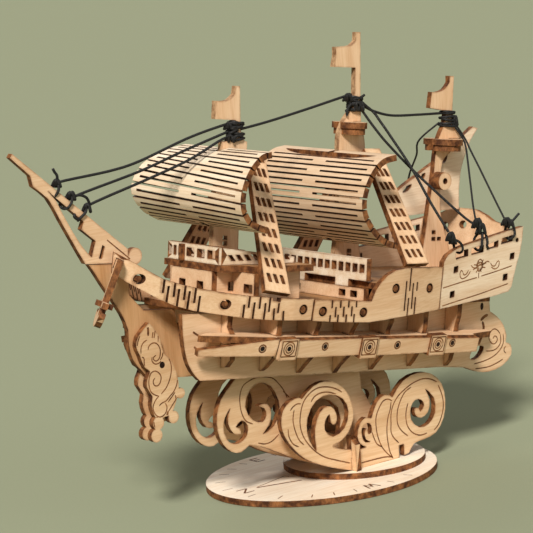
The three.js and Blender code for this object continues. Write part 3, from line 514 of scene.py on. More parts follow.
def off_stand(u, v, side):
    """Beside the stand, looking in; u and v are the row frame's x and z."""
    return world(u, SPAN * side, v), Vector((0, -side, 0))


def above(u, v, side):
    """Over the base, looking down; u and v are the row frame's x and y."""
    return world(u, v, 60), Vector((0, 0, -1))


def blot(node, centre, radii, place, side):
    """A near-black disc on a node's face, painted shade standing in for a hole's dark inside."""
    tree, verts = surface(node), []
    for a, b in circle(0, 0, 1, 14)[:-1]:
        start, direction = place(centre[0] + radii[0] * a, centre[1] + radii[1] * b, side)
        hit = tree.ray_cast(start, direction)
        if hit[0] is None:
            return [], []
        verts.append(hit[0] - direction * PROUD * 1.5)
    return verts, [tuple(range(len(verts)))]


def engrave(name, jobs, blots=(), ink=SCORCH):
    """One piece of burnt lines and near-black discs, the discs being painted shade of holes.

    Each job is (node, lines, width, place, side), and each blot (node, centre, radii, place, side)."""
    parts = [
        ribbon(node, line, width, place, side)
        for node, lines, width, place, side in jobs
        for line in lines
    ]
    parts += [blot(*b) for b in blots]
    verts, faces = gather(parts)
    black = sum(len(f) for _, f in parts[len(parts) - len(blots):]) if blots else 0
    kinds = [0] * (len(faces) - black) + [1] * black
    return link(name, mesh_of(name, verts, faces, kinds, (ink, HOLE_SHADE)))


# ---- Cords: each line's route in the ship's frame, knot to knot ----
LINES = {
    "forestay_outer": [
        (-139, 0, 73.8), (-136.4, -0.4, 75.7), (-114, -0.8, 79.7), (-99.9, -0.9, 83.5),
        (-77.5, -0.9, 92.2), (-60.4, -0.6, 97.3), (-55.3, -0.4, 98.2),
    ],
    "forestay_middle": [
        (-130.6, 0, 68.4), (-128.2, -0.3, 70.6), (-99.7, -0.9, 79.6), (-80, -0.9, 87),
        (-58.8, -0.6, 94.4), (-54.6, -0.3, 95.6),
    ],
    "forestay_inner": [
        (-124, 0, 64), (-122, -0.3, 67.1), (-94.8, -0.9, 76.9), (-76, -0.9, 84), (-60.5, -1.2, 91.9),
        (-54.8, -1, 93.2),
    ],
    "main_stay": [(-50.4, 0, 96), (-36, 0, 99.2), (-16, 0, 104.4), (3, 0, 109.6), (7.3, 0, 110.6)],
    "mizzen_stay": [(12.8, 0, 106.6), (19.8, 0, 104), (30, 0, 102.3), (45, 0, 102.8), (58.6, 0, 103.6)],
    "backstay_forward": [
        (11.2, -1.8, 107.9), (14.9, -2, 105.5), (17.3, -3.2, 103.5), (18.7, -5.5, 100.1),
        (20.5, -8, 96.2), (27.1, -16.5, 81.6), (31.3, -24, 68.3), (35.8, -31, 56.3),
    ],
    "backstay_middle": [
        (11, -1.8, 105.2), (13.1, -3, 102), (16.1, -5.5, 97.1), (20.3, -8.5, 91.3), (29.9, -13.5, 81.1),
        (38.4, -20.5, 71.5), (47.1, -28, 62), (50.6, -30.4, 59.3),
    ],
    "vang_middle": [
        (62.5, -1.9, 99.8), (65.3, -2.6, 96.7), (67.8, -3.8, 92.9), (67.7, -6, 89.3), (61.2, -16, 76.4),
        (55.8, -24, 66.6), (51.7, -30, 61.3),
    ],
    "vang_aft": [
        (63.5, -1.7, 100.8), (66.7, -2.6, 96.7), (69.5, -4, 92.3), (69.9, -6.5, 88.4),
        (70.1, -12.5, 80.8), (70.3, -21.5, 69.2), (69.7, -29.8, 59.8),
    ],
    "vang_starboard": [
        (58.2, 1, 99.6), (53.2, 7.8, 91.6), (56.2, 12, 85.3), (58.6, 18.5, 76.6), (63, 25.2, 65.5),
        (66, 29.2, 57),
    ],
}


def strand(name, points, radius):
    """A round cord along the points, which are in the row frame, in metres."""
    data = bpy.data.curves.new(name, "CURVE")
    data.dimensions = "3D"
    data.bevel_depth, data.bevel_resolution = radius, 3
    data.use_fill_caps = True
    spline = data.splines.new("POLY")
    spline.points.add(len(points) - 1)
    for point, at in zip(spline.points, points):
        point.co = (*at, 1)
        point.radius = 1
    data.materials.append(BLACK)
    return link(name, data)


def route(points, count=30):
    """A line's smooth course in the row frame, with count even steps."""
    line = smooth([Vector(p) for p in points], 0.5)
    total = sum((b - a).length for a, b in zip(line, line[1:]))
    return [ship(*p) for p in even(line, total / count)]


def tie(name, points):
    """A loop or a tail of cord through the given points."""
    return strand(name, route(points, 8 * len(points)), CORD / 2 * MM)


def bundle(name, centre, half, rise, turns, phase, tilt):
    """Many wraps of cord that climb and cross each other round a mast between two heights.

    Each wrap is a squarish ring of the given half widths, and tilt is how far it leans."""
    points, per = [], 12
    count = int(turns * per)
    for i in range(count + 1):
        a = 2 * math.pi * i / per + phase
        c, s = math.cos(a), math.sin(a)
        squareness = (abs(c) ** 4 + abs(s) ** 4) ** -0.25
        slack = 1 + 0.1 * math.sin(1.9 * i + phase)
        climb = 0.5 - 0.5 * math.cos(2 * math.pi * (i / count) * 1.5 + phase)
        p = centre[0] + half[0] * c * squareness * slack
        y = centre[1] + half[1] * s * squareness * slack
        q = rise[0] + (rise[1] - rise[0]) * climb + tilt * c * math.sin(0.23 * i + phase)
        points.append(ship(p, y, q))
    return strand(name, points, CORD / 2 * MM)


def knot(name, at, r, phase):
    """A tight hitch: cord wound over and under itself about a point."""
    points, steps = [], 48
    for i in range(steps + 1):
        t = 2 * math.pi * i / steps
        p = at[0] + r[0] * math.sin(2 * t + phase)
        y = at[1] + r[1] * math.cos(3 * t + phase)
        q = at[2] + r[2] * math.sin(5 * t + 2 * phase)
        points.append(ship(p, y, q))
    return strand(name, points, CORD / 2 * MM)


def knots():
    """The lashings, each kept with the line it ends."""
    return {
        "forestay_outer": [
            bundle("knot_fore_low", (-52.5, 0, 0), (2.9, 2.1), (91.8, 94.4), 4, 0.4, 0.5),
            bundle("knot_fore_top", (-52.6, 0, 0), (2.6, 2.1), (96, 98.6), 4, 1.7, 0.5),
            bundle("knot_fore_upright", (-54.9, -0.6, 0), (1.7, 1.6), (91.6, 98.4), 7, 0.9, 0.3),
            knot("knot_fore_stay", (-57, -0.8, 97.2), (1.3, 1.1, 1.2), 0.6),
            knot("knot_fore_foot", (-56.6, -1.6, 92.4), (1.5, 1.1, 1.3), 1.6),
            knot("knot_sprit_1", (-137.9, -0.2, 75.2), (1.3, 1.1, 1.3), 0.3),
            tie(
                "loop_sprit_1",
                [
                    (-138.4, 0.4, 75), (-139.4, 1.8, 73), (-140, 1.2, 70.6), (-139.4, 0, 69.8),
                    (-138.7, -1.4, 70.9), (-138, -1.9, 73), (-137.6, -0.6, 75),
                ],
            ),
            tie(
                "tail_sprit_1",
                [(-137.8, -0.4, 76), (-138.2, -0.8, 78), (-139.4, -0.8, 79.4), (-140.2, -0.8, 80.6)],
            ),
        ],
        "forestay_middle": [
            knot("knot_sprit_2", (-131.2, -0.2, 70.4), (1.6, 1.1, 1.4), 1.1),
            tie(
                "loop_sprit_2",
                [
                    (-131.6, 0.6, 70.2), (-133.6, 1.9, 68.8), (-135, 1.4, 66.8), (-134.4, 0, 65.6),
                    (-133.2, -1.5, 66), (-132, -2, 68), (-131, -0.8, 70),
                ],
            ),
            tie(
                "link_sprit",
                [(-129.6, -0.6, 70.4), (-127, -0.9, 70.6), (-124.4, -0.9, 69.6), (-122.9, -0.7, 67.6)],
            ),
        ],
        "forestay_inner": [
            knot("knot_sprit_3", (-123.6, -0.3, 65.8), (1.3, 1.1, 1.5), 2.0),
            tie(
                "loop_sprit_3",
                [
                    (-123.2, 0.6, 65.8), (-123.6, 1.9, 63.4), (-125.6, 1.4, 61.6), (-127.4, 0, 61),
                    (-127.6, -1.6, 62), (-125.6, -2, 64), (-124.2, -0.8, 65.6),
                ],
            ),
            tie(
                "tail_sprit_3",
                [(-127.2, -0.8, 61.4), (-128.8, -1.4, 61.6), (-130.2, -1.4, 62.6), (-129.8, -1.2, 63.6)],
            ),
        ],
        "main_stay": [
            bundle("knot_main_low", (9.5, 0, 0), (3.2, 2.2), (103.6, 107), 5, 0.2, 0.4),
            bundle("knot_main_top", (9.4, 0, 0), (2.8, 2.2), (106.6, 109.4), 4, 1.3, 0.5),
            knot("knot_main_fore", (5, -0.8, 109.4), (1.7, 1.1, 1.4), 0.7),
            knot("knot_main_near", (9.6, -2.6, 105.8), (2.2, 0.5, 1.6), 1.9),
            tie("tail_main_fore", [(6, -1.8, 106.8), (4.4, -2, 105.6), (3.6, -2, 103.8), (3.7, -2, 102)]),
            tie("tail_main_top", [(10.4, -2, 109.4), (11.8, -1.9, 110), (12.8, -1.8, 110.6)]),
        ],
        "mizzen_stay": [
            bundle("knot_mizzen_low", (62.3, 0, 0), (3.9, 2.1), (98.2, 99.4), 2.6, 0.5, 0.2),
            bundle("knot_mizzen_mid", (62, 0, 0), (3.3, 2.1), (100.7, 102.3), 3, 1.4, 0.3),
            bundle("knot_mizzen_top", (61.7, 0, 0), (2.8, 2.1), (103.4, 104.4), 2.6, 2.2, 0.2),
            knot("knot_mizzen_near", (64.8, -1.6, 100.6), (1.1, 0.8, 1.9), 0.9),
        ],
        "backstay_forward": [
            knot("knot_stern_1", (36.8, -31.4, 54.4), (1.7, 0.9, 1.6), 0.4),
            knot("knot_stern_1b", (38.2, -31.4, 52.8), (1.2, 0.8, 1.2), 1.4),
            tie(
                "loop_stern_1",
                [
                    (38.4, -31.3, 53.2), (41.6, -31.4, 52.2), (43.4, -31.5, 50.4), (43.9, -31, 48.2),
                    (43.8, -29, 47.4), (43.6, -27, 48.6), (42.6, -26.9, 51.6), (39.6, -28.6, 53),
                ],
            ),
        ],
        "backstay_middle": [
            knot("knot_stern_2", (52.4, -30.6, 59.6), (2, 1.1, 1.8), 0.2),
            knot("knot_stern_2b", (54.6, -30.8, 57.2), (1.9, 1.1, 2), 1.2),
            tie(
                "loop_stern_2",
                [
                    (55, -31.2, 55.4), (54.6, -31.5, 52.4), (54.6, -31.2, 49.6), (54.6, -29.4, 48.2),
                    (54.6, -27, 49.6), (54.8, -26.8, 53), (55.4, -28.8, 55.6),
                ],
            ),
            tie(
                "loop_stern_2b",
                [
                    (57.2, -31, 54.8), (57.6, -31.6, 52), (57.8, -31.3, 50.2), (60.4, -29.2, 49.2),
                    (60.4, -26.8, 50.4), (59.4, -26.6, 53.6), (57.4, -28.6, 55.4),
                ],
            ),
        ],
        "vang_aft": [
            knot("knot_stern_3", (69.4, -30.4, 60), (1.9, 1, 1.4), 0.5),
            knot("knot_stern_3b", (71.6, -30.4, 59), (1.6, 1, 1.5), 1.7),
            tie(
                "loop_stern_3",
                [
                    (72.4, -30.8, 58.8), (73.6, -31, 56.6), (73.6, -31.1, 54.2), (72.6, -29.4, 52.6),
                    (72.4, -27.2, 53.6), (72.2, -27, 56.4), (71.6, -28.6, 58.6),
                ],
            ),
            tie(
                "tail_stern_3",
                [(72.2, -30.2, 59.6), (74, -30.2, 61), (75.6, -30.2, 62.4), (76.6, -30.2, 63.2)],
            ),
        ],
    }


def cords():
    """Each line as a curve in place of its plain tube."""
    kept = knots()
    for name, points in LINES.items():
        line = route(points)
        thick = CORD * (VANG if name.startswith("vang") else 1)
        obj = strand("cord_" + name, line, thick / 2 * MM)
        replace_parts(obj, "line_" + name)


cords()


# ---- Sails: the profile of the front face at the port edge, and at the starboard one where it differs ----
FORE_SAIL = [
    (-62.5, 89), (-67.2, 87.8), (-71.5, 84), (-75.1, 78.3), (-76.8, 72), (-76.3, 66.5), (-74, 62.6),
    (-71.4, 60.4), (-67.8, 58.8), (-63.2, 57.6),
]
FORE_SAIL_FAR = [
    (-50.8, 88.3), (-58.4, 86.6), (-64.4, 84.6), (-69.3, 82.2), (-73.2, 79.4), (-76, 75.4), (-77.4, 70.6),
    (-75.6, 65.8), (-70.6, 61), (-63.2, 57.6),
]
MAIN_SAIL = [
    (2, 88), (-4, 86.7), (-8.6, 83.6), (-12.6, 78), (-14.9, 71.6), (-15, 66.4), (-13.2, 61.8),
    (-8.2, 55.8), (-1.5, 51.6), (4.5, 50.3),
]
SAIL_HALF, SLIT, ROW, HEM = 34.5, 0.8, 2.45, 1.5  # half width, slit, pitch of the rows, least hem
SLIT_END, BRIDGE, MAST_HALF = 30.9, 4, 1.5  # half widths of a long slit, a bridge, the mast's notch


def slit_rows(count):
    """Open spans in y of each slit: one long one, or two from the edges with a bridge between."""
    long_one, two = [(-SLIT_END, SLIT_END)], [(-SAIL_HALF, -BRIDGE), (BRIDGE, SAIL_HALF)]
    return [long_one if i % 2 else two for i in range(count)]


def sail(name, node, look, port, starboard, mast, first=0):
    """A bellied sheet with rows of slits; the rows before the first are left whole.

    The sheet is notched round the mast wherever it comes aft of the given place."""
    near, far = smooth([Vector(p) for p in port], 0.4), smooth([Vector(p) for p in starboard], 0.4)
    length = sum((b - a).length for a, b in zip(near, near[1:]))
    rows = int((length - 2 * HEM) / ROW)
    margin = (length - rows * ROW - SLIT) / 2
    stops = [0.0]
    for i in range(rows + 1):
        stops += [margin + i * ROW, margin + i * ROW + SLIT]
    stops.append(length)
    outer = [MAST_HALF, BRIDGE, 18, SLIT_END, SAIL_HALF]
    cuts = [-y for y in reversed(outer)] + outer
    spans = slit_rows(rows + 1)

    def profile(points, t):
        total = (len(points) - 1) * t
        i = min(int(total), len(points) - 2)
        here = points[i].lerp(points[i + 1], total - i)
        along = (points[min(i + 2, len(points) - 1)] - points[max(i - 1, 0)]).normalized()
        return here, here + Vector((-along.y, along.x)) * PLY

    def corner(s, y):
        w = (y + SAIL_HALF) / (2 * SAIL_HALF)
        a, b = profile(near, s / length), profile(far, s / length)
        return [ship(u.x + (v.x - u.x) * w, y, u.y + (v.y - u.y) * w) for u, v in zip(a, b)]

    grid = [[corner(s, y) for y in cuts] for s in stops]

    def inside(i, j):
        return 0 <= i < len(stops) - 1 and 0 <= j < len(cuts) - 1

    def solid(i, j):
        if not inside(i, j):
            return False
        middle = (cuts[j] + cuts[j + 1]) / 2
        if abs(middle) < MAST_HALF:
            s = (stops[i] + stops[i + 1]) / 2
            if profile(near, s / length)[0].x > mast:
                return False
        if i % 2 == 1 and (i - 1) // 2 >= first:
            return not any(a < middle < b for a, b in spans[(i - 1) // 2])
        return True

    verts, faces, kinds, index = [], [], [], {}

    def vert(i, j, k):
        if (i, j, k) not in index:
            index[i, j, k] = len(verts)
            verts.append(grid[i][j][k])
        return index[i, j, k]

    for i in range(len(stops) - 1):
        for j in range(len(cuts) - 1):
            if not solid(i, j):
                continue
            f = [vert(i, j, 0), vert(i, j + 1, 0), vert(i + 1, j + 1, 0), vert(i + 1, j, 0)]
            b = [vert(i, j, 1), vert(i, j + 1, 1), vert(i + 1, j + 1, 1), vert(i + 1, j, 1)]
            faces += [tuple(f), tuple(reversed(b))]
            kinds += [0, 0]
            for k, (di, dj) in enumerate([(-1, 0), (0, 1), (1, 0), (0, -1)]):
                if not solid(i + di, j + dj):
                    faces.append((f[(k + 1) % 4], f[k], b[k], b[(k + 1) % 4]))
                    kinds.append(2 if inside(i + di, j + dj) else 1)
    obj = link(name, outward(mesh_of(name, verts, faces, kinds, (look, EDGE, SLIT_WALL))))
    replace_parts(obj, node)
    return obj


def head_slot():
    """The long lens-shaped slot behind the main sail's head strap, cut from above."""
    half, back, deep = 28, -2.6, 3.6
    y = [half * k / 10 for k in range(-10, 11)]
    front = [(back - 0.1 - deep * (1 - (v / half) ** 4) ** 0.8, v) for v in y]
    return prism([(back, half), (back, -half)] + front, lambda p, q, y: ship(p, y, q), 80, 94)


sail("sail_fore_slitted", "fore_sail", LOOKS["sail"], FORE_SAIL, FORE_SAIL_FAR, -68)
main_sail = sail("sail_main_slitted", "main_sail", LOOKS["sail_main"], MAIN_SAIL, MAIN_SAIL, -3, 3)
cut_away(main_sail, [head_slot()], LOOKS["sail_main"], EDGE)


# ---- Hull panels with kerf slits and peg holes, by their places in the ship's side view ----
PEG_HOLE, PEG, PEG_END = 2.0, 1.35, 0.7  # radii
PEGS = {
    "gunwale_fore": [(-104.3, 39), (-74.3, 29.8), (-42.5, 27.6)],
    "quarter_panel": [(-32.6, 26.5), (-11.8, 25.4), (4.4, 34.5), (25.2, 33.8)],
}
GUNWALE_KERFS = [
    ((-96.7, 39.6), (-96.2, 34.2)), ((-93, 38.4), (-92.5, 32.8)), ((-89.5, 37.4), (-89, 31.7)),
    ((-86, 36.6), (-85.5, 30.6)), ((-94.8, 36.3), (-94.3, 29.6)), ((-91.2, 35.2), (-90.7, 28.2)),
    ((-87.7, 34.5), (-87.2, 27)), ((-84, 32.7), (-83.5, 26.5)), ((-66.2, 33.6), (-65.9, 29)),
    ((-62, 33.4), (-61.7, 28.6)), ((-58.1, 33), (-57.8, 27.4)), ((-54.1, 30), (-54, 26.9)),
    ((-67.6, 29.5), (-67.2, 24)), ((-63.9, 30.4), (-63.5, 24)), ((-59.6, 30.1), (-59.2, 23.4)),
    ((-55.8, 28), (-55.4, 23.4)), ((-51.6, 26.9), (-51.2, 23)),
]
QUARTER_KERFS = [
    ((-28.4, 31), (-28.2, 28)), ((-24.1, 31), (-23.9, 28)), ((-20, 30.8), (-19.8, 28)),
    ((-16, 30.4), (-15.8, 28)), ((-26.2, 27.7), (-26, 24.4)), ((-22.1, 27.7), (-21.9, 24.4)),
    ((-18, 27.7), (-17.8, 24.4)), ((-28.6, 24.5), (-28.4, 21.7)), ((-24.6, 24.5), (-24.4, 21.5)),
    ((-20.4, 24.5), (-20.2, 21.3)), ((-16.4, 24.5), (-16.2, 21)), ((12.3, 43), (12.6, 33.6)),
    ((10.2, 36.9), (10.6, 25.5)), ((14.5, 35.9), (14.9, 26.1)), ((12.5, 29.9), (12.7, 22)),
    ((17, 36.2), (17.1, 33.4)), ((16.7, 30.1), (17, 22.6)),
]
STERN_SLOTS = [
    [(39.8, 48.1), (47.3, 49.1), (47.7, 46.1), (40.3, 44.9)],
    [(49.2, 49.2), (56.7, 50.5), (56.8, 47.5), (49.6, 46.5)],
    [(59.4, 50.6), (65.5, 52.3), (65.6, 49.6), (58.5, 48.3)],
    [(67.5, 53.1), (74.1, 54.3), (74.1, 51.7), (67.3, 50.4)],
]
STERN_PORTS = [(74.7, 45.4), (40.9, 40.8), (71.6, 36.6), (40, 30.5)]
STERN_HOLE = (76.9, 52.1, 0.9)
SHROUD_SLOT = [(-57, 31.4), (-53.6, 30.8), (-53.5, 33.2), (-57, 33.8)]


def square_port(p, q):
    """A square hole that leans with the stern panel's lines."""
    r, slope = 1.35, 0.15
    return through([(p + a * r, q + b * r + a * r * slope) for a, b in ((-1, -1), (1, -1), (1, 1), (-1, 1))])


def panels():
    """The hull's upper panels with their slits, ports and peg holes."""
    for side in ("_port", "_starboard"):
        holes = {sheet: [hole(p, q, PEG_HOLE) for p, q in places] for sheet, places in PEGS.items()}
        fore = [kerf(a, b) for a, b in GUNWALE_KERFS] + holes["gunwale_fore"] + [through(SHROUD_SLOT)]
        carve("gunwale_fore" + side, fore, LOOKS["hull"])
        quarter = [kerf(a, b) for a, b in QUARTER_KERFS] + holes["quarter_panel"]
        carve("quarter_panel" + side, quarter, LOOKS["hull"])
        stern = [through(c) for c in STERN_SLOTS] + [square_port(p, q) for p, q in STERN_PORTS]
        carve("stern_panel" + side, stern + [hole(*STERN_HOLE)], LOOKS["stern"])


panels()


def pegs():
    """Plugs glued in the panels' holes, a little below flush, each with a raised round end."""
    parts, recess, reach = [], 0.25, 2.6
    for node, (p, q) in [(node, place) for node, places in PEGS.items() for place in places]:
        for side in (-1, 1):
            tree = surface(node + ("_port" if side < 0 else "_starboard"))
            start, direction = off_ship(p, q, side)
            hit = tree.ray_cast(start, direction)
            if hit[0] is None:
                continue
            y = hit[0].y / MM - side * recess
            for r, lift in ((PEG, 0), (PEG_END, recess)):
                corners = circle(p, q, r, 8, 0.4)[:-1]
                parts.append(prism(corners, ship, y + side * lift, y - side * reach))
    verts, faces = gather(parts)
    link("hull_pegs", outward(mesh_of("hull_pegs", verts, faces, None, (EDGE,))))


pegs()

# ---- The other sheets keep their CAD solids ----
# ALONG stand along the ship; the masts listed next have their burnt edges painted paler as painted light on
# their bow edges; HOUSES have upright walls.
ALONG = (
    "fore_mast", "main_mast", "mizzen_mast", "bowsprit", "side_plate", "keel_plate", "bow_scroll",
    "wave_", "lateen_sail",
)
LIT_EDGED = ("fore_mast", "main_mast")
HOUSES = ("forecastle_bulkhead", "forecastle_rail", "waist_", "wale", "transom")
SHEETS = {
    "hull": ("side_plate", "wale", "bowsprit", "transom", "forecastle_bulkhead", "waist_bulkhead", "anchor"),
    "stern": ("lateen_sail",),
    "rail": ("forecastle_rail", "waist_rail"),
    "hull_up": ("rib", "fore_mast", "main_mast", "mizzen_mast", "fore_shroud", "main_shroud", "crows_nest"),
    "wave": ("wave_", "bow_scroll", "stand_cross"),
    "base": ("base_",),
    "inner": ("main_deck", "quarterdeck", "forecastle_deck"),
    "keel": ("keel_plate",),
}


def sheets():
    """Wood and burnt edges for every node that still shows."""
    shown = [n for n in NODES if not NODES[n].hide_render]
    for look, starts in SHEETS.items():
        for node in shown:
            if not node.startswith(starts):
                continue
            flat = UP if node.startswith("crows_nest") else ASIDE if node.startswith(ALONG) else None
            # The fore and main masts get the paler burnt edge, painted light.
            edge = EDGE_LIT if node in LIT_EDGED else EDGE
            dress(NODES[node], LOOKS[look], edge, flat, node.startswith(HOUSES))


sheets()


# ---- Engraving: polylines in mm, u aft and v up in the ship's frame, or x and z on the stand ----
AFT_WAVE = [
    [(-30, 35.9), (-28.4, 37.2), (-26.2, 38), (-24.1, 37.6)],
    [(-27.9, 35.9), (-28.8, 32), (-28.1, 27.7), (-26.3, 23.3), (-23.9, 20.8)],
    [(-31.6, 28.9), (-31.4, 25.6), (-29.5, 22.3), (-26.6, 20.5)],
    [
        (-2.4, 38.3), (-5.4, 40.2), (-9.6, 41.8), (-14.8, 42.4), (-19.1, 41.1), (-22.5, 38.5),
        (-24.4, 34.8), (-25.3, 29.6), (-24.1, 24.5), (-21.3, 20.2), (-17.9, 16.7), (-13.4, 13.6),
        (-7.7, 11.2), (-0.3, 8.4),
    ],
    [(5.5, 7.2), (11.6, 7.2), (18.7, 7), (22.5, 6.2)],
    [(-5.6, 38.1), (-9.7, 39.7), (-13.9, 40.1), (-17.2, 39.1), (-18.9, 37.4)],
    [(12.4, 18.8), (13.3, 16.1), (14.8, 13.3), (17.4, 11.5)],
    [
        (24.3, 29.5), (22.1, 30.7), (19.4, 30.4), (17, 28), (15.1, 24.6), (14.8, 20.4), (15.5, 16.1),
        (17.4, 11.5), (20.4, 7.9), (23.1, 5.7),
    ],
    [
        (23.7, 29.2), (22.9, 26), (21.6, 23.3), (20.8, 20.1), (20.5, 16.3), (20.8, 12.5), (21.6, 8.5),
        (23.1, 5.7),
    ],
    [
        (49.8, 32.7), (46, 34.7), (41.5, 35.5), (36.4, 34.8), (31.8, 33.1), (27.7, 30.9), (24.7, 27.7),
        (23.3, 24.2), (23, 20.1), (22.8, 16.7), (24.2, 13.9), (26.8, 11.3),
    ],
    [
        (35.2, 33.3), (31.7, 31.9), (29.3, 29.4), (27.3, 25.9), (26.5, 22.3), (26.8, 18.9), (28.8, 15.9),
        (32, 13.2),
    ],
    [(33, 27), (31.7, 23.8), (31.4, 20.1), (32.3, 16.9), (34.9, 13.9), (38.7, 12.2), (42.7, 12.3)],
    [(50.3, 31.3), (51.8, 28), (52.7, 24.4), (52.4, 20.6), (51, 17.1), (49.1, 14.4), (46.7, 12.8)],
]
FORE_WAVE = [
    [
        (-42.6, 31.9), (-46, 33.8), (-47.8, 37), (-48.5, 40.8), (-48.2, 44.8), (-46.4, 48.1),
        (-43.2, 49.5), (-40.1, 50.1), (-36.5, 49.9), (-31.4, 48.5), (-28.5, 45.9), (-26.2, 43),
        (-24.8, 40.3), (-24.4, 39),
    ],
    [(-26.2, 42.2), (-23.3, 39.2)],
    [(-40.7, 23.8), (-37.2, 22.7), (-33.5, 23.1), (-29.7, 25.2)],
]
BOW_SCROLL = [
    [(-94.3, 20.5), (-92.3, 18.5), (-90.8, 16.1), (-90.7, 13.7)],
    [(-93.3, 17.7), (-93.6, 15.4)],
    [(-92.3, 18.1), (-92.7, 15.4)],
    [(-89.8, 15.6), (-88.7, 12.9), (-88.1, 10.1), (-88.5, 7.8), (-89.4, 6.7)],
    [
        (-99.5, 16.5), (-100.3, 14.6), (-100.7, 11.9), (-100.1, 9.5), (-98.6, 8.3), (-97.2, 7.8),
        (-97.1, 6.3), (-96.5, 4.3), (-94.5, 2.7),
    ],
    [(-96, 14.8), (-97.9, 13.7), (-98.8, 11.8), (-98.7, 9.5)],
    [
        (-95.4, 10.8), (-95, 12.4), (-93.1, 13.5), (-91.1, 13), (-89.6, 11), (-89.5, 8.2), (-90.4, 6.7),
        (-91.8, 6.4), (-92.8, 7.6), (-91.4, 8.7),
    ],
    [(-93.3, 8), (-93.3, 6.5), (-91.8, 5.2), (-89.8, 5.5), (-88.9, 6.3)],
    [
        (-91.5, -0.2), (-92.4, -1.3), (-91.9, -2.9), (-90.4, -3.4), (-89, -2.3), (-88.6, 0), (-89.7, 1.6),
        (-91.6, 2.5), (-93.5, 1.8), (-94.4, -0.5), (-94.3, -3.2), (-93.2, -5.6), (-91.2, -6.9),
        (-89.3, -7.4),
    ],
    [(-86.6, 8.9), (-85, 6.8), (-83.9, 4.4), (-83.8, 1.3), (-84.6, -1.8), (-86, -4.4), (-88.3, -6.7)],
    [
        (-83.5, 5.6), (-81.9, 3.2), (-80.8, 0.4), (-80.7, -2.8), (-82, -5.8), (-83.9, -7.7),
        (-85.8, -9.5), (-87.7, -10.2), (-89.1, -11.3),
    ],
    [(-81.5, -6.3), (-83.4, -8.5), (-84.8, -10)],
    [(-81.5, -7.4), (-80.9, -9), (-82.3, -10.9), (-83.7, -12.8), (-84.6, -13.9)],
    [
        (-89.3, -7.4), (-91.1, -9.2), (-92, -11.9), (-90.9, -14.3), (-88.9, -15.6), (-87, -15.3),
        (-85.6, -13.9), (-85.2, -11.9), (-86.2, -10.3),
    ],
    [(-89.4, -15.6), (-90.9, -15.9), (-91.3, -17.8), (-90.7, -19.8)],
]
BOW_DEEP = [[(-96.3, 21.3), (-95.7, 18.6), (-95.6, 16.3)], [(-84.6, -13.5), (-85, -16.2), (-83.4, -18.7)]]
STERN_SCROLL = [
    [
        (76.6, 9.2), (77.4, 10.4), (78.8, 9.9), (79.2, 8.4), (77.6, 7), (75.6, 7.6), (74.2, 9.7),
        (74.9, 12.1), (77, 13.4), (79.2, 12.7), (80.8, 11),
    ],
    [(80.8, 11), (81.3, 7.8), (79.9, 5.6), (77.6, 4.4), (75.2, 4.1), (72.6, 4.2)],
    [(82.5, 11), (83, 8), (82, 5.4), (79.8, 3.2), (76.6, 1.4), (71.9, 0), (66.1, -1)],
    [(84.6, 5.8), (83.6, 4.9), (83.6, 3.6), (84.8, 2.7)],
    [(83.2, 0.3), (78.5, -1.6), (73.9, -2.7), (67, -3.1)],
]
STERN_DEEP = [
    [(69.9, 16.8), (70.8, 14.5), (70.4, 11.5), (69, 8.8), (68.3, 7)],
    [(73, 19.6), (70.6, 18.7), (68.9, 17.3)],
]
STERN_PANEL = [
    [(33.9, 33.4), (54.2, 37)],
    [(56.6, 37.5), (66.7, 39.4), (75.2, 41.3)],
    [(34.3, 25.9), (55.7, 29.8), (73.8, 33.8)],
    [(45.4, 39.4), (44.4, 40.4), (43.7, 38.8), (44.8, 36.9), (46.9, 37.1), (48.9, 38.3), (49.9, 39.9)],
    [(45.4, 39.4), (46.2, 38.3), (47.7, 38.7), (48.7, 40.3)],
    [
        (61.8, 42.9), (63, 41.6), (64.8, 41.6), (65.7, 43), (67, 43.6), (67.1, 41.5), (66, 40.5),
        (64.3, 40.3), (62.4, 41.2),
    ],
    [(49.9, 42.3), (51.6, 41.1), (53.6, 41.3), (55.2, 42.1), (57, 42.4), (59.6, 43.6), (61.2, 43.2)],
    [(55.3, 39.2), (53.9, 40.6), (53.4, 42.6), (55, 44.6), (56.9, 43.4), (57.1, 41.2), (55.3, 39.2)],
    [(55.1, 38.9), (55.3, 36.8)],
]
BASE_HALF = 51.2, 42.3  # half axes of the base plate's top
MEDALLIONS = [(-47.5, 12.2), (-5.5, 11), (32, 10.4)]
FASCIA_PEGS = [(-59.3, 12.6), (-28.4, 12.2), (10.2, 11), (40.6, 10.6)]


def letter(strokes, at, up, size=5.2):
    """Strokes drawn in a unit square, placed on the base with the letter's top towards up."""
    right = (up[1], -up[0])
    return [
        [
            (
                at[0] + size * ((a - 0.5) * right[0] + (b - 0.5) * up[0]),
                at[1] + size * ((a - 0.5) * right[1] + (b - 0.5) * up[1]),
            )
            for a, b in line
        ]
        for line in strokes
    ]


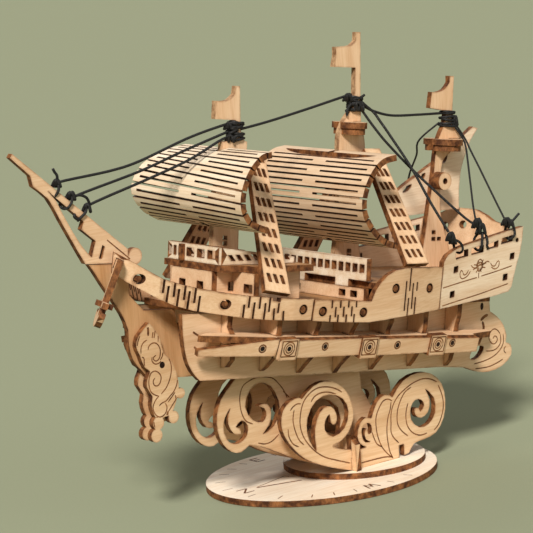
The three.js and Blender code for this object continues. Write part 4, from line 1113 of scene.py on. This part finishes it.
def compass():
    """The base's letters N, W and E, its ticks, and the needle's outline and shading."""
    letters = letter([[(0, 0), (0, 1)], [(0, 1), (1, 0)], [(1, 0), (1, 1)]], (-40.8, 0), (-1, 0))
    letters += letter(
        [[(0, 1), (0.25, 0)], [(0.25, 0), (0.5, 0.75)], [(0.5, 0.75), (0.75, 0)], [(0.75, 0), (1, 1)]],
        (-4.7, -35.2),
        (0, -1),
        5.6,
    )
    letters += letter(
        [[(0.1, 0), (0.1, 1)], [(0.1, 1), (0.9, 1)], [(0.1, 0.5), (0.75, 0.5)], [(0.1, 0), (0.9, 0)]],
        (-5.2, 35.8),
        (0, 1),
    )
    ticks = []
    for angle in (192, 211, 229, 241, 253, 276, 291):
        c, s = math.cos(math.radians(angle)), math.sin(math.radians(angle))
        for flip in (1, -1):
            ticks.append([(BASE_HALF[0] * k * c, BASE_HALF[1] * k * s * flip) for k in (0.83, 0.92)])
    needle = [[(-34.6, 0.6), (-15.6, 5.6)], [(-15.6, 5.6), (-15.2, 3)]]
    shaded = [[(-34.6, 0.2), (-25, -2.6)], [(-25, -2.6), (-15.6, -5.4)]]
    return letters, ticks, needle, shaded


def rosette(u, v):
    """A plain flower of eight strokes with a ring round it."""
    strokes = []
    for k in range(8):
        c, s = math.cos(math.pi * k / 4 + 0.3), math.sin(math.pi * k / 4 + 0.3)
        strokes.append([(u + 0.8 * c, v + 0.7 * s), (u + 4.1 * c, v + 0.6 * c + 2.7 * s)])
    return strokes + [circle(u, v, 1.7, 10)]


def rings(u, v):
    """A medallion's square border and its two circles."""
    corners = [(u + 3.7 * a, v + 3.1 * b) for a, b in ((-1, -1), (1, -1), (1, 1), (-1, 1), (-1, -1))]
    border = [list(ends) for ends in zip(corners, corners[1:])]
    return border + [circle(u, v, 2.7), circle(u, v, 1.7)]


def engravings():
    """All the burnt lines, as one piece to each group of sheets on each side."""
    letters, ticks, needle, shaded = compass()
    marks = [(letters, 0.8), (ticks, 0.45), (needle, 0.45), (shaded, 1.1)]
    engrave("compass_marks", [("base_plate", lines, width, above, 1) for lines, width in marks])
    for side, name in ((-1, "port"), (1, "starboard")):
        engrave(
            "wave_lines_" + name,
            [
                ("wave_aft_" + name, AFT_WAVE, 0.55, off_stand, side),
                ("wave_fore_" + name, FORE_WAVE, 0.5, off_stand, side),
            ],
        )
        scroll = "bow_scroll_" + name
        engrave(
            "bow_lines_" + name,
            [(scroll, BOW_SCROLL, 0.5, off_ship, side), (scroll, BOW_DEEP, 1.0, off_ship, side)],
            [(scroll, (-88.3, 4.7), (1.3, 1.3), off_ship, side)],
        )
        engrave(
            "stern_lines_" + name,
            [
                ("side_plate_" + name, STERN_SCROLL, 0.5, off_ship, side),
                ("side_plate_" + name, STERN_DEEP, 1.3, off_ship, side),
            ],
        )
        engrave(
            "panel_lines_" + name,
            [("stern_panel_" + name, STERN_PANEL + rosette(55.3, 41.7), 0.5, off_ship, side)],
            ink=BROWN,
        )
        wale = "wale_" + name
        engrave(
            "wale_lines_" + name,
            [(wale, rings(u, v), 0.5, off_ship, side) for u, v in MEDALLIONS]
            + [(wale, [circle(u, v, 1.5)], 0.6, off_ship, side) for u, v in FASCIA_PEGS],
            [(wale, (u, v), (1, 1), off_ship, side) for u, v in MEDALLIONS + FASCIA_PEGS],
        )
        plate = "side_plate_" + name
        engrave(
            "side_lines_" + name,
            [(plate, [[(-84.8, 18.9), (-80.3, 16.4)], [(-84, 13.1), (-79.5, 9.8)]], 0.8, off_ship, side)],
            [
                (plate, (53.3, 8.9), (1, 1.6), off_ship, side),
                (plate, (63.3, 6.7), (1.2, 1.5), off_ship, side),
                (plate, (69.2, 23.3), (0.9, 1.6), off_ship, side),
            ],
        )
        engrave("sprit_line_" + name, [("bowsprit", [[(-114.5, 53.5), (-103.3, 46)]], 0.5, off_ship, side)])


engravings()


# ---- Floor and light ----
def stage():
    """A wide floor, three suns and an even sky."""
    bpy.ops.mesh.primitive_plane_add(size=8, location=(0, 0, -0.0002))
    floor = bpy.context.object
    floor.name = "floor"
    floor.data.materials.append(painted_floor())
    lamps = [
        ("key", (-0.72, -0.66, 0.9), 12, 3.9, (1, 0.965, 0.91)),
        ("fill", (0.55, -1.0, 0.35), 50, 0.4, (0.97, 0.98, 1)),
        ("rim", (0.4, 0.9, 0.8), 30, 0.6, (1, 0.98, 0.95)),
    ]
    for name, at, spread, power, colour in lamps:
        data = bpy.data.lights.new(name, "SUN")
        data.angle, data.energy, data.color = math.radians(spread), power, colour
        lamp = bpy.data.objects.new(name, data)
        bpy.context.scene.collection.objects.link(lamp)
        lamp.location = at
        lamp.rotation_mode = "QUATERNION"
        lamp.rotation_quaternion = (-Vector(at)).to_track_quat("-Z", "Y")
    sky = bpy.data.worlds.new("sky")
    sky.use_nodes = True
    sky.node_tree.nodes["Background"].inputs["Color"].default_value = (0.64, 0.64, 0.6, 1)
    sky.node_tree.nodes["Background"].inputs["Strength"].default_value = 0.35
    bpy.context.scene.world = sky
    bpy.context.scene.view_settings.view_transform = "Standard"


stage()
